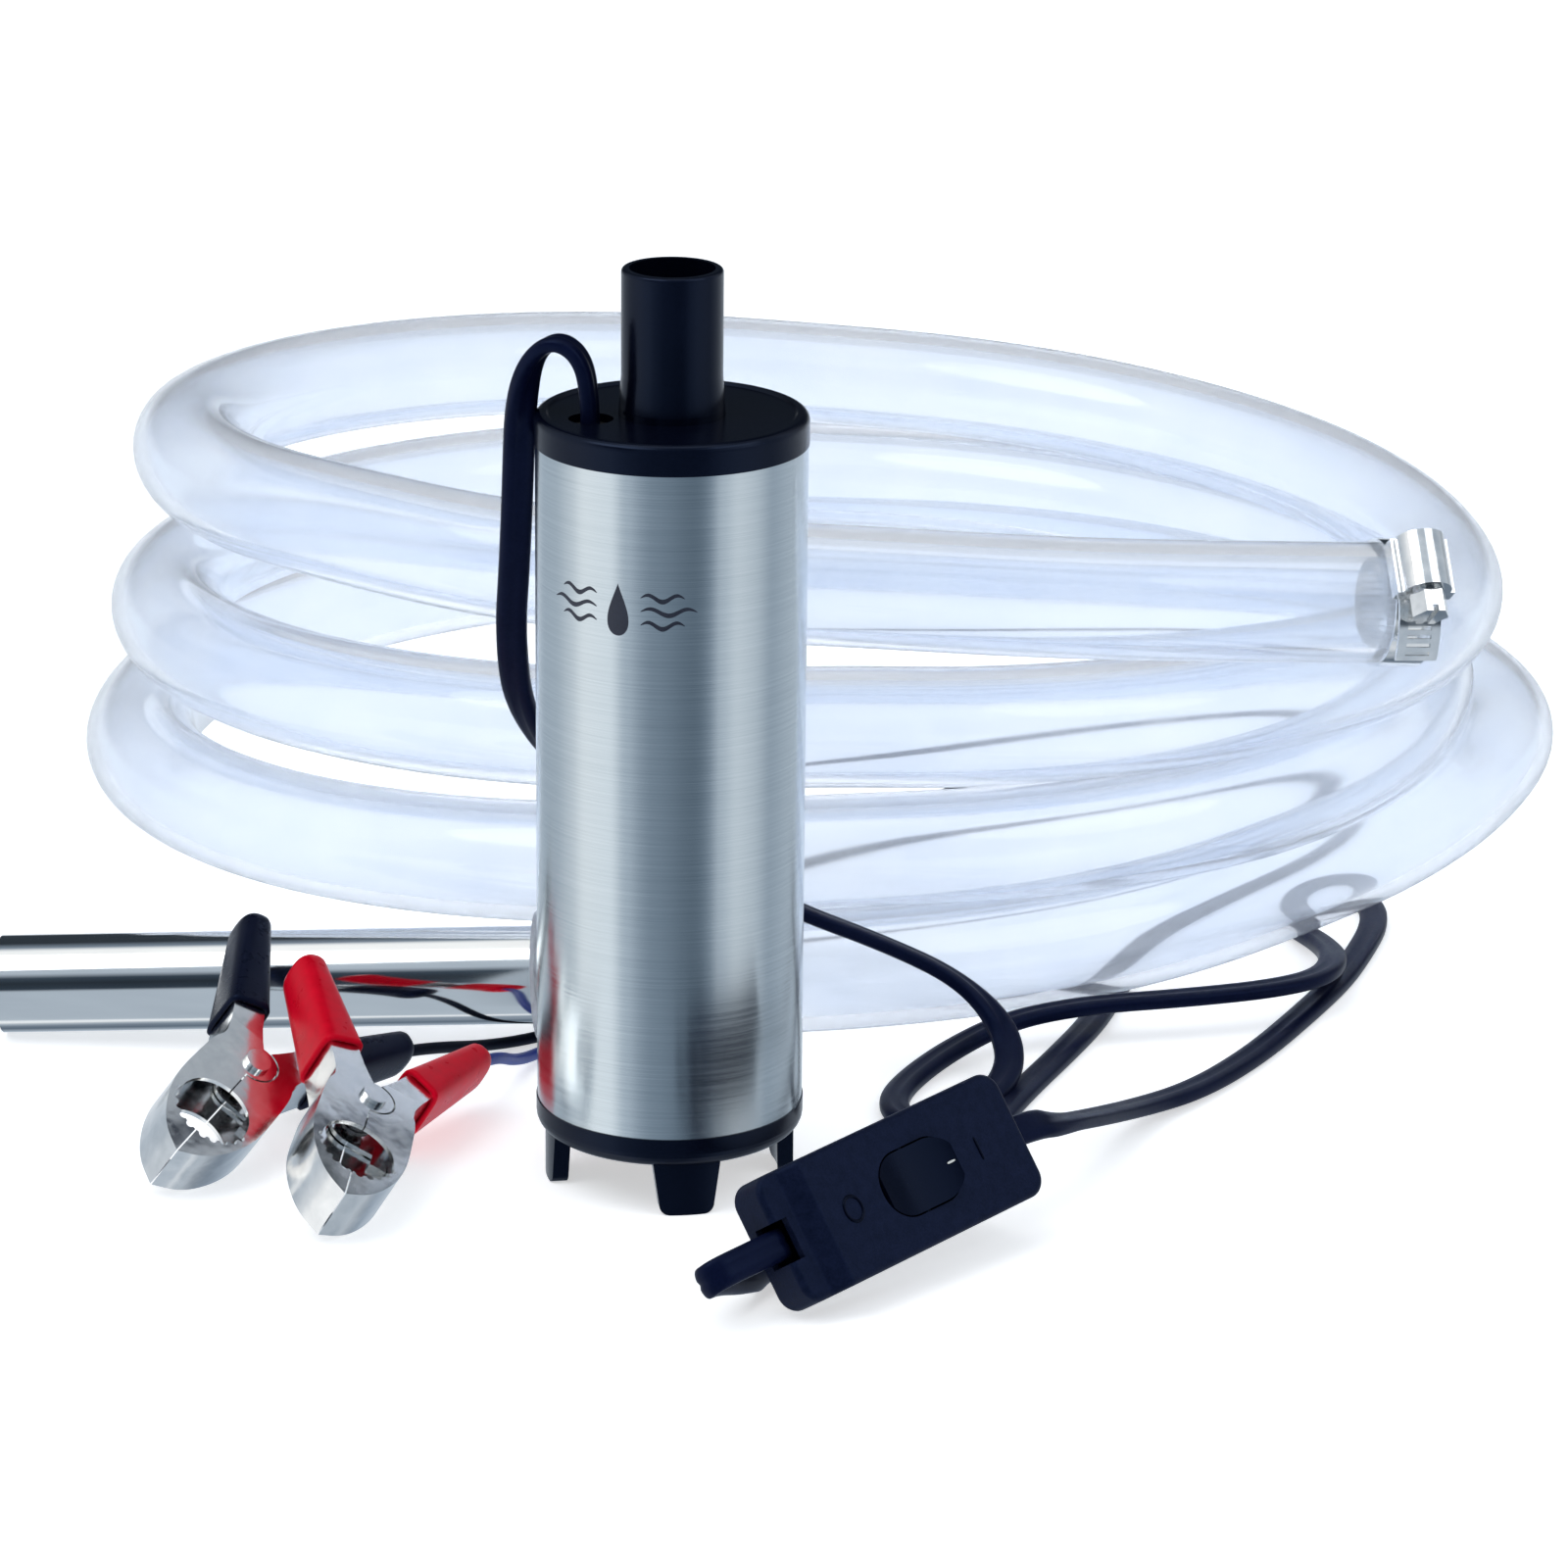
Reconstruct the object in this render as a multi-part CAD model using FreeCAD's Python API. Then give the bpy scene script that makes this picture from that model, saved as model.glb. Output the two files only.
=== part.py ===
import FreeCAD, Part
import math
import os

# Twelve-volt submersible transfer pump with its hose, spray nozzle tube, switched lead and battery clips.
# The origin is on the floor on the pump's axis, +Z up, millimetres.

os.makedirs("parts", exist_ok=True)
V = FreeCAD.Vector

# ---- pump body ----
sleeve_r = 25.5            # outside radius of the stainless sleeve
sleeve_wall = 0.8
foot_h = 10.0              # clear height under the base ring
base_band_h = 6.0          # visible band of the base ring
sleeve_len = 129.7
cap_h = 5.8                # visible thickness of the top cap
rim_proud = 0.2            # the two end caps stand this far proud of the sleeve
fit = 0.05                 # slip fit between a spigot and the sleeve
foot_count = 4
foot_turn = 9.4            # degrees from the front, towards +X
foot_top_w = 13.0
foot_end_w = 10.0
foot_thick = 3.0
foot_r = 24.0
spigot_h = 8.0
eye_r = 8.0                # inlet eye in the base ring's floor
spout_base_r = 9.95
spout_r = 9.5
spout_bore_r = 8.0
spout_rise = 27.2          # spout height above the cap
taper_h = 7.0
cord_hole_r = 4.2
cord_web = 1.504           # plastic left between the spout and the cord's hole
cord_way = V(-0.95184, -0.30663, 0)

# ---- motor and impeller ----
shaft_r = 1.6
bearing_gap = 0.03
can_r = 18.0
can_wall = 1.0
can_h = 85.0
magnet_t = 2.8
core_r = 13.5
core_h = 38.0
pole_count = 7
bush_r = 4.0
commutator_r = 5.2
impeller_r = 19.5
blade_count = 6

# ---- hose, nozzle and hose clips ----
hose_r = 12.5
hose_bore_r = 9.5
nozzle_r = 10.0
nozzle_wall = 1.0
nozzle_len = 130.0
hose_swell = 0.5           # the hose grows this much where the tube is pushed in
coil_x = 28.0
coil_y = 226.0
coil_r = 150.0             # middle radius of the coiled turns
coil_spread = 8.0          # how far the turns fan out from that radius
coil_low_top = 76.0
coil_high_top = 106.0
coil_lift = 13.0           # room for the leads under the front of the coil
band_w = 9.0
band_t = 0.7
screw_r = 2.93
hex_r = 3.9                # corner radius of the worm screw's head
clip_room = 11.5           # how far the nozzle clip stands out from its hose

# ---- leads ----
lead_r = 1.8
wire_r = 1.2

# ---- switch ----
switch_l = 62.0
switch_w = 25.2
switch_t = 12.0
switch_wall = 1.5
rocker_l = 20.0
rocker_w = 13.0
rocker_gap = 0.35
rocker_short = 0.8         # the rocker's ends are this much short of the opening's
step_l = 5.5               # lower ledge at the battery end of the switch
step_slope = 3.0
step_h = 3.2
rocker_tilt = 9.0          # degrees either side of level

# ---- battery clips ----
jaw_tip = 34.0             # rivet to tip
grip_len = 40.0            # rivet to the end of a handle
grip_angle = 28.0          # half the spread of the handles
jaw_w = 11.0
sheet = 0.9
mouth_r = 7.6
rivet_r = 1.5

sleeve_z0 = foot_h + base_band_h
sleeve_z1 = sleeve_z0 + sleeve_len
cap_z1 = sleeve_z1 + cap_h
bore_r = sleeve_r - sleeve_wall
spigot_r = bore_r - fit
rim_r = sleeve_r + rim_proud
flange_r = spout_base_r + 3.05
cord_hole = cord_way * (spout_base_r + cord_web + cord_hole_r)


def save(name, shape):
    """Write one node and report its volume."""
    shape.exportStep("parts/" + name + ".step")
    print(name, len(shape.Solids), round(shape.Volume, 1), shape.isValid())


def cylinder(r, z0, z1, x=0.0, y=0.0):
    return Part.makeCylinder(r, z1 - z0, V(x, y, z0))


def ring(outer, inner, z0, z1):
    return cylinder(outer, z0, z1).cut(cylinder(inner, z0 - 1, z1 + 1))


def block(x0, x1, y0, y1, z0, z1):
    return Part.makeBox(x1 - x0, y1 - y0, z1 - z0, V(x0, y0, z0))


def turned(points):
    """Revolve a closed outline of (radius, height) points about Z."""
    corners = [V(r, 0, z) for r, z in points]
    face = Part.Face(Part.makePolygon(corners + [corners[0]]))
    return face.revolve(V(0, 0, 0), V(0, 0, 1), 360)


def corner_arc(centre_r, centre_z, radius, start, stop, steps=6):
    """Points of a rounded corner in an outline of (radius, height)."""
    points = []
    for i in range(steps + 1):
        a = math.radians(start + (stop - start) * i / steps)
        points.append((centre_r + radius * math.cos(a), centre_z + radius * math.sin(a)))
    return points


def spun(shape, degrees, x=0.0, y=0.0):
    copy = shape.copy()
    copy.rotate(V(x, y, 0), V(0, 0, 1), degrees)
    return copy


def flat(points, z0, z1):
    """Extrude a closed outline of (x, y) points from z0 to z1."""
    corners = [V(x, y, z0) for x, y in points]
    face = Part.Face(Part.makePolygon(corners + [corners[0]]))
    return face.extrude(V(0, 0, z1 - z0))


def join(shapes):
    whole = shapes[0]
    for shape in shapes[1:]:
        whole = whole.fuse(shape)
    return whole.removeSplitter()


def frame_at(origin, x_dir, z_dir):
    """Placement whose local X runs along x_dir and local Z near z_dir."""
    x_axis = V(x_dir).normalize()
    z_axis = V(z_dir) - x_axis * x_axis.dot(V(z_dir))
    z_axis.normalize()
    y_axis = z_axis.cross(x_axis)
    m = FreeCAD.Matrix(x_axis.x, y_axis.x, z_axis.x, origin.x,
                       x_axis.y, y_axis.y, z_axis.y, origin.y,
                       x_axis.z, y_axis.z, z_axis.z, origin.z,
                       0, 0, 0, 1)
    return FreeCAD.Placement(m)


def placed(shape, frame):
    copy = shape.copy()
    copy.Placement = frame.multiply(copy.Placement)
    return copy


def rounded_slab(length, width, z0, z1, corner):
    """Plate centred on Z with rounded upright corners."""
    slab = block(-length / 2, length / 2, -width / 2, width / 2, z0, z1)
    upright = [e for e in slab.Edges if abs(e.Vertexes[0].Z - e.Vertexes[-1].Z) > 1e-6]
    return slab.makeFillet(corner, upright)


def routed_wire(points):
    """Straight runs joined by the largest tangent arcs that the runs allow."""
    points = [V(*p) for p in points]
    here = points[0]
    edges = []
    radii = []
    for before, corner, after in zip(points, points[1:], points[2:]):
        back = before - corner
        ahead = after - corner
        run = min(back.Length, ahead.Length)
        back.normalize()
        ahead.normalize()
        turn = math.pi - back.getAngle(ahead)
        reach = 0.45 * run
        radii.append(reach / math.tan(turn / 2))
        start = corner + back * reach
        stop = corner + ahead * reach
        bisector = (back + ahead).normalize()
        centre = corner + bisector * (reach / math.sin(turn / 2))
        middle = centre - bisector * radii[-1]
        edges.append(Part.LineSegment(here, start).toShape())
        edges.append(Part.Arc(start, middle, stop).toShape())
        here = stop
    edges.append(Part.LineSegment(here, points[-1]).toShape())
    return Part.Wire(edges), radii


def tube(name, points, radius):
    """Round lead along a route, with a printed check of its bends and volume."""
    wire, radii = routed_wire(points)
    start = wire.Edges[0]
    direction = start.Vertexes[-1].Point - start.Vertexes[0].Point
    circle = Part.Circle(start.Vertexes[0].Point, direction, radius).toShape()
    solid = wire.makePipeShell([Part.Wire(circle)], True, False)
    ratio = solid.Volume / (math.pi * radius ** 2 * wire.Length)
    print(name, "length", round(wire.Length, 1), "volume ratio", round(ratio, 4))
    print("   bend radii", [round(r, 1) for r in radii])
    return solid


# ---- base ring, strainer, diffuser, impeller ----
floor_z0 = foot_h + 3.5
floor_z1 = floor_z0 + 2.0
chamber_r = 22.5
strainer_r = 22.0
ring_outline = [(strainer_r, foot_h)]
ring_outline += corner_arc(rim_r - 3, foot_h + 3, 3, -90, 0)
ring_outline += [(rim_r, sleeve_z0), (spigot_r, sleeve_z0), (spigot_r, sleeve_z0 + spigot_h)]
ring_outline += [(chamber_r, sleeve_z0 + spigot_h), (chamber_r, floor_z1), (eye_r, floor_z1)]
ring_outline += [(eye_r, floor_z0), (strainer_r, floor_z0)]
base_ring = turned(ring_outline)
groove_z = sleeve_z0 + 3.0
base_ring = base_ring.cut(ring(spigot_r + 1, spigot_r - 1.0, groove_z, groove_z + 1.6))
foot_side = [V(-foot_end_w / 2, 0, 0), V(foot_end_w / 2, 0, 0)]
foot_side += [V(foot_top_w / 2, 0, foot_h + 0.6), V(-foot_top_w / 2, 0, foot_h + 0.6)]
foot_plate = Part.Face(Part.makePolygon(foot_side + [foot_side[0]])).extrude(V(0, -foot_r - 5, 0))
lower_edges = [e for e in foot_plate.Edges
               if abs(e.Vertexes[0].Y - e.Vertexes[-1].Y) > 1 and e.Vertexes[0].Z < 0.1]
foot_plate = foot_plate.makeFillet(2.0, lower_edges)
foot = foot_plate.common(ring(foot_r, foot_r - foot_thick, 0, foot_h + 0.6))
front_foot = [s for s in foot.Solids if s.CenterOfMass.y < 0][0]
for i in range(foot_count):
    base_ring = base_ring.fuse(spun(front_foot, foot_turn + i * 360.0 / foot_count))
save("base_ring", base_ring.removeSplitter())

strainer = cylinder(strainer_r, foot_h + 1.0, foot_h + 2.2)
strainer = strainer.fuse(ring(strainer_r, strainer_r - 1.4, foot_h + 2.2, floor_z0))
slot_count = 16
slot = block(5.0, 17.5, -0.9, 0.9, foot_h, foot_h + 2.3)
for i in range(slot_count):
    strainer = strainer.cut(spun(slot, i * 360.0 / slot_count))
save("strainer_plate", strainer.removeSplitter())

plate_z0 = sleeve_z0 + spigot_h
plate_z1 = plate_z0 + 2.5
seal_r = 5.0
diffuser = cylinder(spigot_r, plate_z0, plate_z1).cut(cylinder(seal_r, plate_z0 - 1, plate_z1 + 1))
passage = ring(chamber_r - 0.2, can_r + 1.2, plate_z0 - 1, plate_z1 + 1)
passage = passage.common(block(0, 40, -7, 7, plate_z0 - 1, plate_z1 + 1))
for i in range(6):
    diffuser = diffuser.cut(spun(passage, i * 60))
save("diffuser_plate", diffuser)

shroud_z1 = plate_z0 - 1.2
shroud_z0 = shroud_z1 - 1.2
impeller = cylinder(impeller_r, shroud_z0, shroud_z1)
impeller = impeller.fuse(cylinder(4.2, floor_z1 + 0.8, plate_z0 - 0.4))
blade = block(3.9, 18.5, -0.6, 0.6, floor_z1 + 0.8, shroud_z0)
swept_blade = spun(blade, 24, 3.9, 0)
for i in range(blade_count):
    impeller = impeller.fuse(spun(swept_blade, i * 360.0 / blade_count))
impeller = impeller.common(cylinder(impeller_r, floor_z1, plate_z0))
shaft_z0 = floor_z1 + 1.5
impeller = impeller.cut(cylinder(shaft_r, shaft_z0, plate_z0 + 1))
save("impeller", impeller.removeSplitter())

# ---- motor ----
can_z0 = plate_z1
can_z1 = can_z0 + can_h
bell_t = 2.0
can = ring(can_r, can_r - can_wall, can_z0, can_z1)
can = can.fuse(cylinder(can_r, can_z0, can_z0 + 1.5)).cut(cylinder(bush_r, can_z0 - 1, can_z0 + 3))
save("motor_can", can.removeSplitter())

shaft_z1 = can_z1 + 1.0
save("motor_shaft", cylinder(shaft_r, shaft_z0, shaft_z1))

bush = ring(bush_r, shaft_r + bearing_gap, can_z0, can_z0 + 4.5)
upper_bush = ring(bush_r, shaft_r + bearing_gap, can_z1 - 4.0, can_z1)
save("shaft_bearings", Part.makeCompound([bush, upper_bush]))
save("shaft_seal", ring(seal_r, shaft_r + bearing_gap, plate_z0, plate_z1))

core_z0 = can_z0 + 17.0
core_z1 = core_z0 + core_h
core = cylinder(core_r, core_z0, core_z1)
slot_floor = block(5.5, core_r - 1.4, -2.6, 2.6, core_z0 - 1, core_z1 + 1)
slot_mouth = block(5.5, core_r + 1, -0.8, 0.8, core_z0 - 1, core_z1 + 1)
winding_slot = slot_floor.fuse(slot_mouth)
for i in range(pole_count):
    core = core.cut(spun(winding_slot, i * 360.0 / pole_count))
windings = ring(core_r - 1.6, 4.6, core_z0 - 5, core_z1 + 5).cut(core)
windings = windings.cut(cylinder(4.6, core_z0 - 6, core_z1 + 6))
core = core.cut(cylinder(shaft_r, core_z0 - 1, core_z1 + 1))
save("armature_core", core.removeSplitter())
save("armature_windings", Part.makeCompound(windings.Solids))

commutator_z0 = core_z1 + 6.5
commutator_z1 = commutator_z0 + 10.0
commutator = ring(commutator_r, shaft_r, commutator_z0, commutator_z1)
for i in range(pole_count):
    gap = block(commutator_r - 0.8, commutator_r + 1, -0.25, 0.25, commutator_z0 - 1, commutator_z1 + 1)
    commutator = commutator.cut(spun(gap, i * 360.0 / pole_count))
save("commutator", commutator)

magnet_ring = ring(can_r - can_wall, can_r - can_wall - magnet_t, core_z0 - 2, core_z1 + 2)
magnet_gap = block(-7, 7, -40, 40, core_z0 - 3, core_z1 + 3)
magnets = magnet_ring.cut(magnet_gap)
save("field_magnets", Part.makeCompound(magnets.Solids))

brush_z = (commutator_z0 + commutator_z1) / 2
bell_z0 = can_z1 - 5.0
bell = cylinder(can_r - can_wall, bell_z0, can_z1).fuse(cylinder(can_r, can_z1, can_z1 + bell_t))
bell = bell.cut(cylinder(bush_r, bell_z0 - 1, can_z1)).cut(cylinder(2.2, bell_z0 - 1, can_z1 + 9))
save("motor_end_bell", bell.removeSplitter())

brush_half = 2.5
holder_x0 = commutator_r + 1.2
holder_x1 = can_r - can_wall - 1.5
holder = block(holder_x0, holder_x1, -4, 4, brush_z - 4, bell_z0)
holder = holder.cut(block(0, can_r, -brush_half, brush_half, brush_z - brush_half, brush_z + brush_half))
brush = block(2.0, holder_x1 - 1.5, -brush_half, brush_half, brush_z - brush_half, brush_z + brush_half)
brush = brush.cut(cylinder(commutator_r + 0.1, brush_z - 9, brush_z + 9))
save("brush_holders", Part.makeCompound([holder, spun(holder, 180)]))
save("carbon_brushes", Part.makeCompound([brush, spun(brush, 180)]))

cover_z0 = can_z1 + bell_t
cover_z1 = cover_z0 + 8.5
cover = cylinder(can_r, cover_z0, cover_z1).cut(cylinder(can_r - 1.5, cover_z0 - 1, cover_z1 - 2.5))
nipple_z1 = cover_z1 + 6.0
lead_z0 = cover_z1 - 1.5
cover = cover.fuse(cylinder(3.1, cover_z1 - 2.5, nipple_z1, cord_hole.x + 1.0, cord_hole.y))
cover = cover.cut(cylinder(lead_r, lead_z0, nipple_z1 + 1, cord_hole.x, cord_hole.y))
save("motor_cover", cover.removeSplitter())

# ---- sleeve, top cap, spout, seals ----
save("pump_sleeve", ring(sleeve_r, bore_r, sleeve_z0, sleeve_z1))

cap_floor = cap_z1 - 4.5
cap_outline = [(0, cap_floor), (chamber_r, cap_floor), (chamber_r, sleeve_z1 - spigot_h)]
cap_outline += [(spigot_r, sleeve_z1 - spigot_h), (spigot_r, sleeve_z1), (rim_r, sleeve_z1)]
cap_outline += corner_arc(rim_r - 1.5, cap_z1 - 1.5, 1.5, 0, 90)
cap_outline += [(rim_r - 2.3, cap_z1), (rim_r - 2.8, cap_z1 - 0.4), (0, cap_z1 - 0.4)]
cap = turned(cap_outline)
cap = cap.cut(cylinder(spout_base_r + fit, cap_floor - 1, cap_z1 + 1))
cap = cap.cut(cylinder(cord_hole_r, cap_floor - 1, cap_z1 + 1, cord_hole.x, cord_hole.y))
cap_groove_z = sleeve_z1 - 5.5
cap = cap.cut(ring(spigot_r + 1, spigot_r - 1.0, cap_groove_z, cap_groove_z + 1.6))
save("top_cap", cap.removeSplitter())

spout_z1 = cap_z1 + spout_rise
spout_outline = [(spout_bore_r, cap_floor - 3.5), (flange_r, cap_floor - 3.5), (flange_r, cap_floor)]
spout_outline += [(spout_base_r, cap_floor), (spout_base_r, cap_z1 + 1.0), (spout_r, cap_z1 + taper_h)]
spout_outline += corner_arc(spout_r - 0.7, spout_z1 - 0.7, 0.7, 0, 90)
spout_outline += [(spout_bore_r, spout_z1)]
save("outlet_spout", turned(spout_outline))

gland = cylinder(cord_hole_r, cap_floor, cap_z1 - 2.0, cord_hole.x, cord_hole.y)
gland = gland.cut(cylinder(lead_r, cap_floor - 1, cap_z1, cord_hole.x, cord_hole.y))
save("cord_gland", gland)
seal_ring = ring(bore_r, spigot_r - 1.0, groove_z, groove_z + 1.6)
save("base_o_ring", seal_ring)
save("cap_o_ring", ring(bore_r, spigot_r - 1.0, cap_groove_z, cap_groove_z + 1.6))

# ---- nozzle tube, hose, coil ----
nozzle_end = V(-138.0, 71.5, nozzle_r + 0.1)
nozzle_aim = V(-10.0, 63.0, 16.9)
nozzle_frame = frame_at(nozzle_end, nozzle_aim - nozzle_end, V(0, 0, 1))


def along_nozzle(radius, x0, x1):
    """Cylinder about the nozzle's axis between two distances from its open end."""
    body = Part.makeCylinder(radius, x1 - x0, V(x0, 0, 0), V(1, 0, 0))
    return placed(body, nozzle_frame)


plug_in = 20.0             # length of nozzle tube inside the hose
hose_x0 = nozzle_len - plug_in
hose_x1 = 150.0
nozzle = along_nozzle(nozzle_r, 0, nozzle_len).cut(along_nozzle(nozzle_r - nozzle_wall, -1, nozzle_len + 1))
save("nozzle_tube", nozzle)
start_r = hose_r + hose_swell
hose_start = along_nozzle(start_r, hose_x0, nozzle_len).fuse(along_nozzle(hose_r, nozzle_len, hose_x1))
hose_start = hose_start.cut(along_nozzle(nozzle_r, hose_x0 - 1, nozzle_len))
hose_start = hose_start.cut(along_nozzle(hose_bore_r, nozzle_len - 1, hose_x1 + 1))
save("hose_start", hose_start.removeSplitter())

outer = coil_r + hose_r + coil_spread - 1.5
inner = coil_r - hose_r - coil_spread
cut_corner = coil_r + hose_r - 3.0     # the first turn runs flatter at the front right
coil = cylinder(outer, 0, coil_low_top, coil_x, coil_y)
crown = cylinder(outer, coil_low_top, coil_high_top, coil_x, coil_y)
crown = crown.common(block(coil_x - 200, coil_x, coil_y - 200, coil_y + 200, 0, 200))
slope = block(-300, 300, 0, 500, 0, 80)
slope.rotate(V(0, 0, 0), V(1, 0, 0), -5.2)
slope.translate(V(0, coil_y - coil_r - 4, coil_high_top))
coil = coil.fuse(crown.cut(slope)).cut(cylinder(inner, -1, 200, coil_x, coil_y))
corner_block = block(cut_corner, 300, -300, 300, -1, 200)
coil = coil.cut(spun(corner_block, -45).translated(V(coil_x, coil_y, 0)))
coil = coil.cut(block(-34, 250, 0, 176, -1, coil_lift))
coil = coil.cut(along_nozzle(start_r + 2.2, 60, hose_x1))
coil = coil.cut(along_nozzle(start_r + clip_room, 60, nozzle_len))
free_end = [(coil_x, 89, 91), (75, 90.5, 89.2), (115, 97, 86.8), (152, 107, 84)]
coil = coil.cut(tube("hose free end room", free_end, hose_r + 0.8))
save("hose_coil", coil.removeSplitter())
free_hose = tube("hose free end", free_end, hose_r)
free_hose = free_hose.cut(tube("hose free end bore", free_end, hose_bore_r))
save("hose_free_end", free_hose)


def hose_clip(prefix, frame, radius):
    """Worm-drive clip in a frame whose X runs along the hose and Z towards the screw housing."""
    band = Part.makeCylinder(radius + band_t, band_w, V(-band_w / 2, 0, 0), V(1, 0, 0))
    band = band.cut(Part.makeCylinder(radius, band_w + 2, V(-band_w / 2 - 1, 0, 0), V(1, 0, 0)))
    tail_r = radius + 5.0
    lap = radius + band_t
    bend_y = 1.2
    strip = block(-band_w / 2, band_w / 2, -2.0, bend_y, lap - 0.4, lap + band_t)
    strip_end = [V(-band_w / 2, bend_y, lap), V(band_w / 2, bend_y, lap)]
    strip_end += [V(band_w / 2, bend_y, lap + band_t), V(-band_w / 2, bend_y, lap + band_t)]
    section = Part.Face(Part.makePolygon(strip_end + [strip_end[0]]))
    tail = section.revolve(V(0, bend_y, lap - tail_r), V(-1, 0, 0), 54)
    for i in range(6):
        notch = block(-2.6, 2.6, -0.45, 0.45, tail_r - 1, tail_r + 2)
        notch.translate(V(0, bend_y, lap - tail_r))
        notch.rotate(V(0, bend_y, lap - tail_r), V(1, 0, 0), -20 - 5.8 * i)
        tail = tail.cut(notch)
    save(prefix + "_band", placed(join([band, strip, tail]), frame))
    bottom = lap + band_t
    screw_z = bottom + 0.5 + screw_r
    housing = block(-6.2, 6.2, -6.5, 5.5, bottom, screw_z)
    housing = housing.fuse(Part.makeCylinder(5.2, 12, V(0, -6.5, screw_z), V(0, 1, 0)))
    housing = housing.cut(block(-9, 9, -9, 9, bottom - 9, bottom))
    housing = housing.cut(Part.makeCylinder(screw_r + 0.07, 20, V(0, -5.5, screw_z), V(0, 1, 0)))
    save(prefix + "_housing", placed(housing.removeSplitter(), frame))
    screw = Part.makeCylinder(screw_r, 11.2, V(0, -5.2, screw_z), V(0, 1, 0))
    hexagon = [(hex_r * math.cos(math.radians(60 * k)), hex_r * math.sin(math.radians(60 * k)))
               for k in range(6)]
    head = flat(hexagon, 0, 5.0)
    head.rotate(V(0, 0, 0), V(1, 0, 0), -90)
    head.translate(V(0, 6.0, screw_z))
    screw = screw.fuse(head)
    screw = screw.cut(block(-0.6, 0.6, 9.6, 12, screw_z - 6, screw_z + 6))
    save(prefix + "_screw", placed(screw.removeSplitter(), frame))
    axis_point = frame.multVec(V(0, 0, screw_z))
    axis_end = frame.multVec(V(0, 1, screw_z))
    print(prefix, "screw axis", axis_point, axis_end - axis_point)


free_tip = V(*free_end[-1])
free_dir = (free_tip - V(*free_end[-2])).normalize()
clip_centre = free_tip - free_dir * (band_w / 2 + 0.6)
clip_lean = math.radians(40)
clip_up = V(0, -math.cos(clip_lean), math.sin(clip_lean))
free_frame = frame_at(clip_centre, free_dir * -1, clip_up)
hose_clip("free_clip", free_frame, hose_r)
joint_frame = frame_at(nozzle_frame.multVec(V(hose_x0 + 9, 0, 0)), nozzle_end - nozzle_aim, V(0, 0.25, 1))
hose_clip("nozzle_clip", joint_frame, start_r)

# ---- switch ----
switch_centre = V(45.3, -52.9, 19.3)
switch_x = V(0.69, 0.721, 0.065)
switch_z = V(0.572, -0.598, 0.561)
switch_frame = frame_at(switch_centre, switch_x, switch_z)
split_z = -7.0
rocker_x = 3.0
pivot_z = -3.0


switch_end = switch_l / 2
screw_places = (-19.5, 25.5)
screw_y = switch_w / 2 - 5.6


def slab_at(x, length, width, z0, z1, corner):
    return rounded_slab(length, width, z0, z1, corner).translated(V(x, 0, 0))


top_shell = rounded_slab(switch_l, switch_w, split_z, 0, 4.0)
ledge_x = -switch_end + step_l
ledge = [V(-switch_end - 1, -50, 1), V(-switch_end - 1, -50, -step_h), V(ledge_x, -50, -step_h)]
ledge += [V(ledge_x + step_slope, -50, 0), V(ledge_x + step_slope, -50, 1)]
top_shell = top_shell.cut(Part.Face(Part.makePolygon(ledge + [ledge[0]])).extrude(V(0, 100, 0)))
upper_edges = [e for e in top_shell.Edges if min(v.Z for v in e.Vertexes) > -step_h - 0.01]
top_shell = top_shell.makeFillet(1.3, upper_edges)
inside_w = switch_w - 2 * switch_wall
room_x = ledge_x + step_slope + switch_wall
room_l = switch_end - switch_wall - room_x
top_shell = top_shell.cut(slab_at(room_x + room_l / 2, room_l, inside_w, split_z - 1, -switch_wall, 2.5))
low_l = switch_l - 2 * switch_wall
top_shell = top_shell.cut(slab_at(0, low_l, inside_w, split_z - 1, -step_h - switch_wall, 2.5))
top_shell = top_shell.cut(slab_at(rocker_x, rocker_l, rocker_w, -9, 9, 6.2))
ear = block(rocker_x - 2.5, rocker_x + 2.5, rocker_w / 2 + 0.1, rocker_w / 2 + 2.2, pivot_z - 2.4, -1.0)
top_shell = top_shell.fuse(ear).fuse(ear.mirror(V(0, 0, 0), V(0, 1, 0)))
pin_hole = Part.makeCylinder(1.25, 2 * (rocker_w / 2 + 1.6), V(rocker_x, -rocker_w / 2 - 1.6, pivot_z), V(0, 1, 0))
top_shell = top_shell.cut(pin_hole)
bottom_shell = rounded_slab(switch_l, switch_w, -switch_t, split_z, 4.0)
lower_edges = [e for e in bottom_shell.Edges if max(v.Z for v in e.Vertexes) < -switch_t + 0.01]
bottom_shell = bottom_shell.makeFillet(1.3, lower_edges)
bottom_shell = bottom_shell.cut(slab_at(0, low_l, inside_w, -switch_t + switch_wall, 0, 2.5))
for x in screw_places:
    bottom_shell = bottom_shell.fuse(cylinder(3.0, -switch_t + 0.5, split_z - 0.6, x, screw_y))
    top_shell = top_shell.fuse(cylinder(2.8, split_z - 0.6, -1.0, x, screw_y))
    bottom_shell = bottom_shell.cut(cylinder(2.2, -switch_t - 1, -switch_t + 1.6, x, screw_y))
    bottom_shell = bottom_shell.cut(cylinder(1.1, -switch_t - 1, 0, x, screw_y))
    top_shell = top_shell.cut(cylinder(1.1, split_z - 1, -3.0, x, screw_y))
lead_way = Part.makeCylinder(lead_r, switch_l + 2, V(-switch_end - 1, 0, split_z), V(1, 0, 0))
end_notch = block(-switch_end - 1, -switch_end + 3.4, -4.0, 4.0, split_z - 1.9, 1)
top_shell = top_shell.cut(lead_way).cut(end_notch)
bottom_shell = bottom_shell.cut(lead_way).cut(end_notch)
save("switch_top_shell", placed(top_shell.removeSplitter(), switch_frame))
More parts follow.
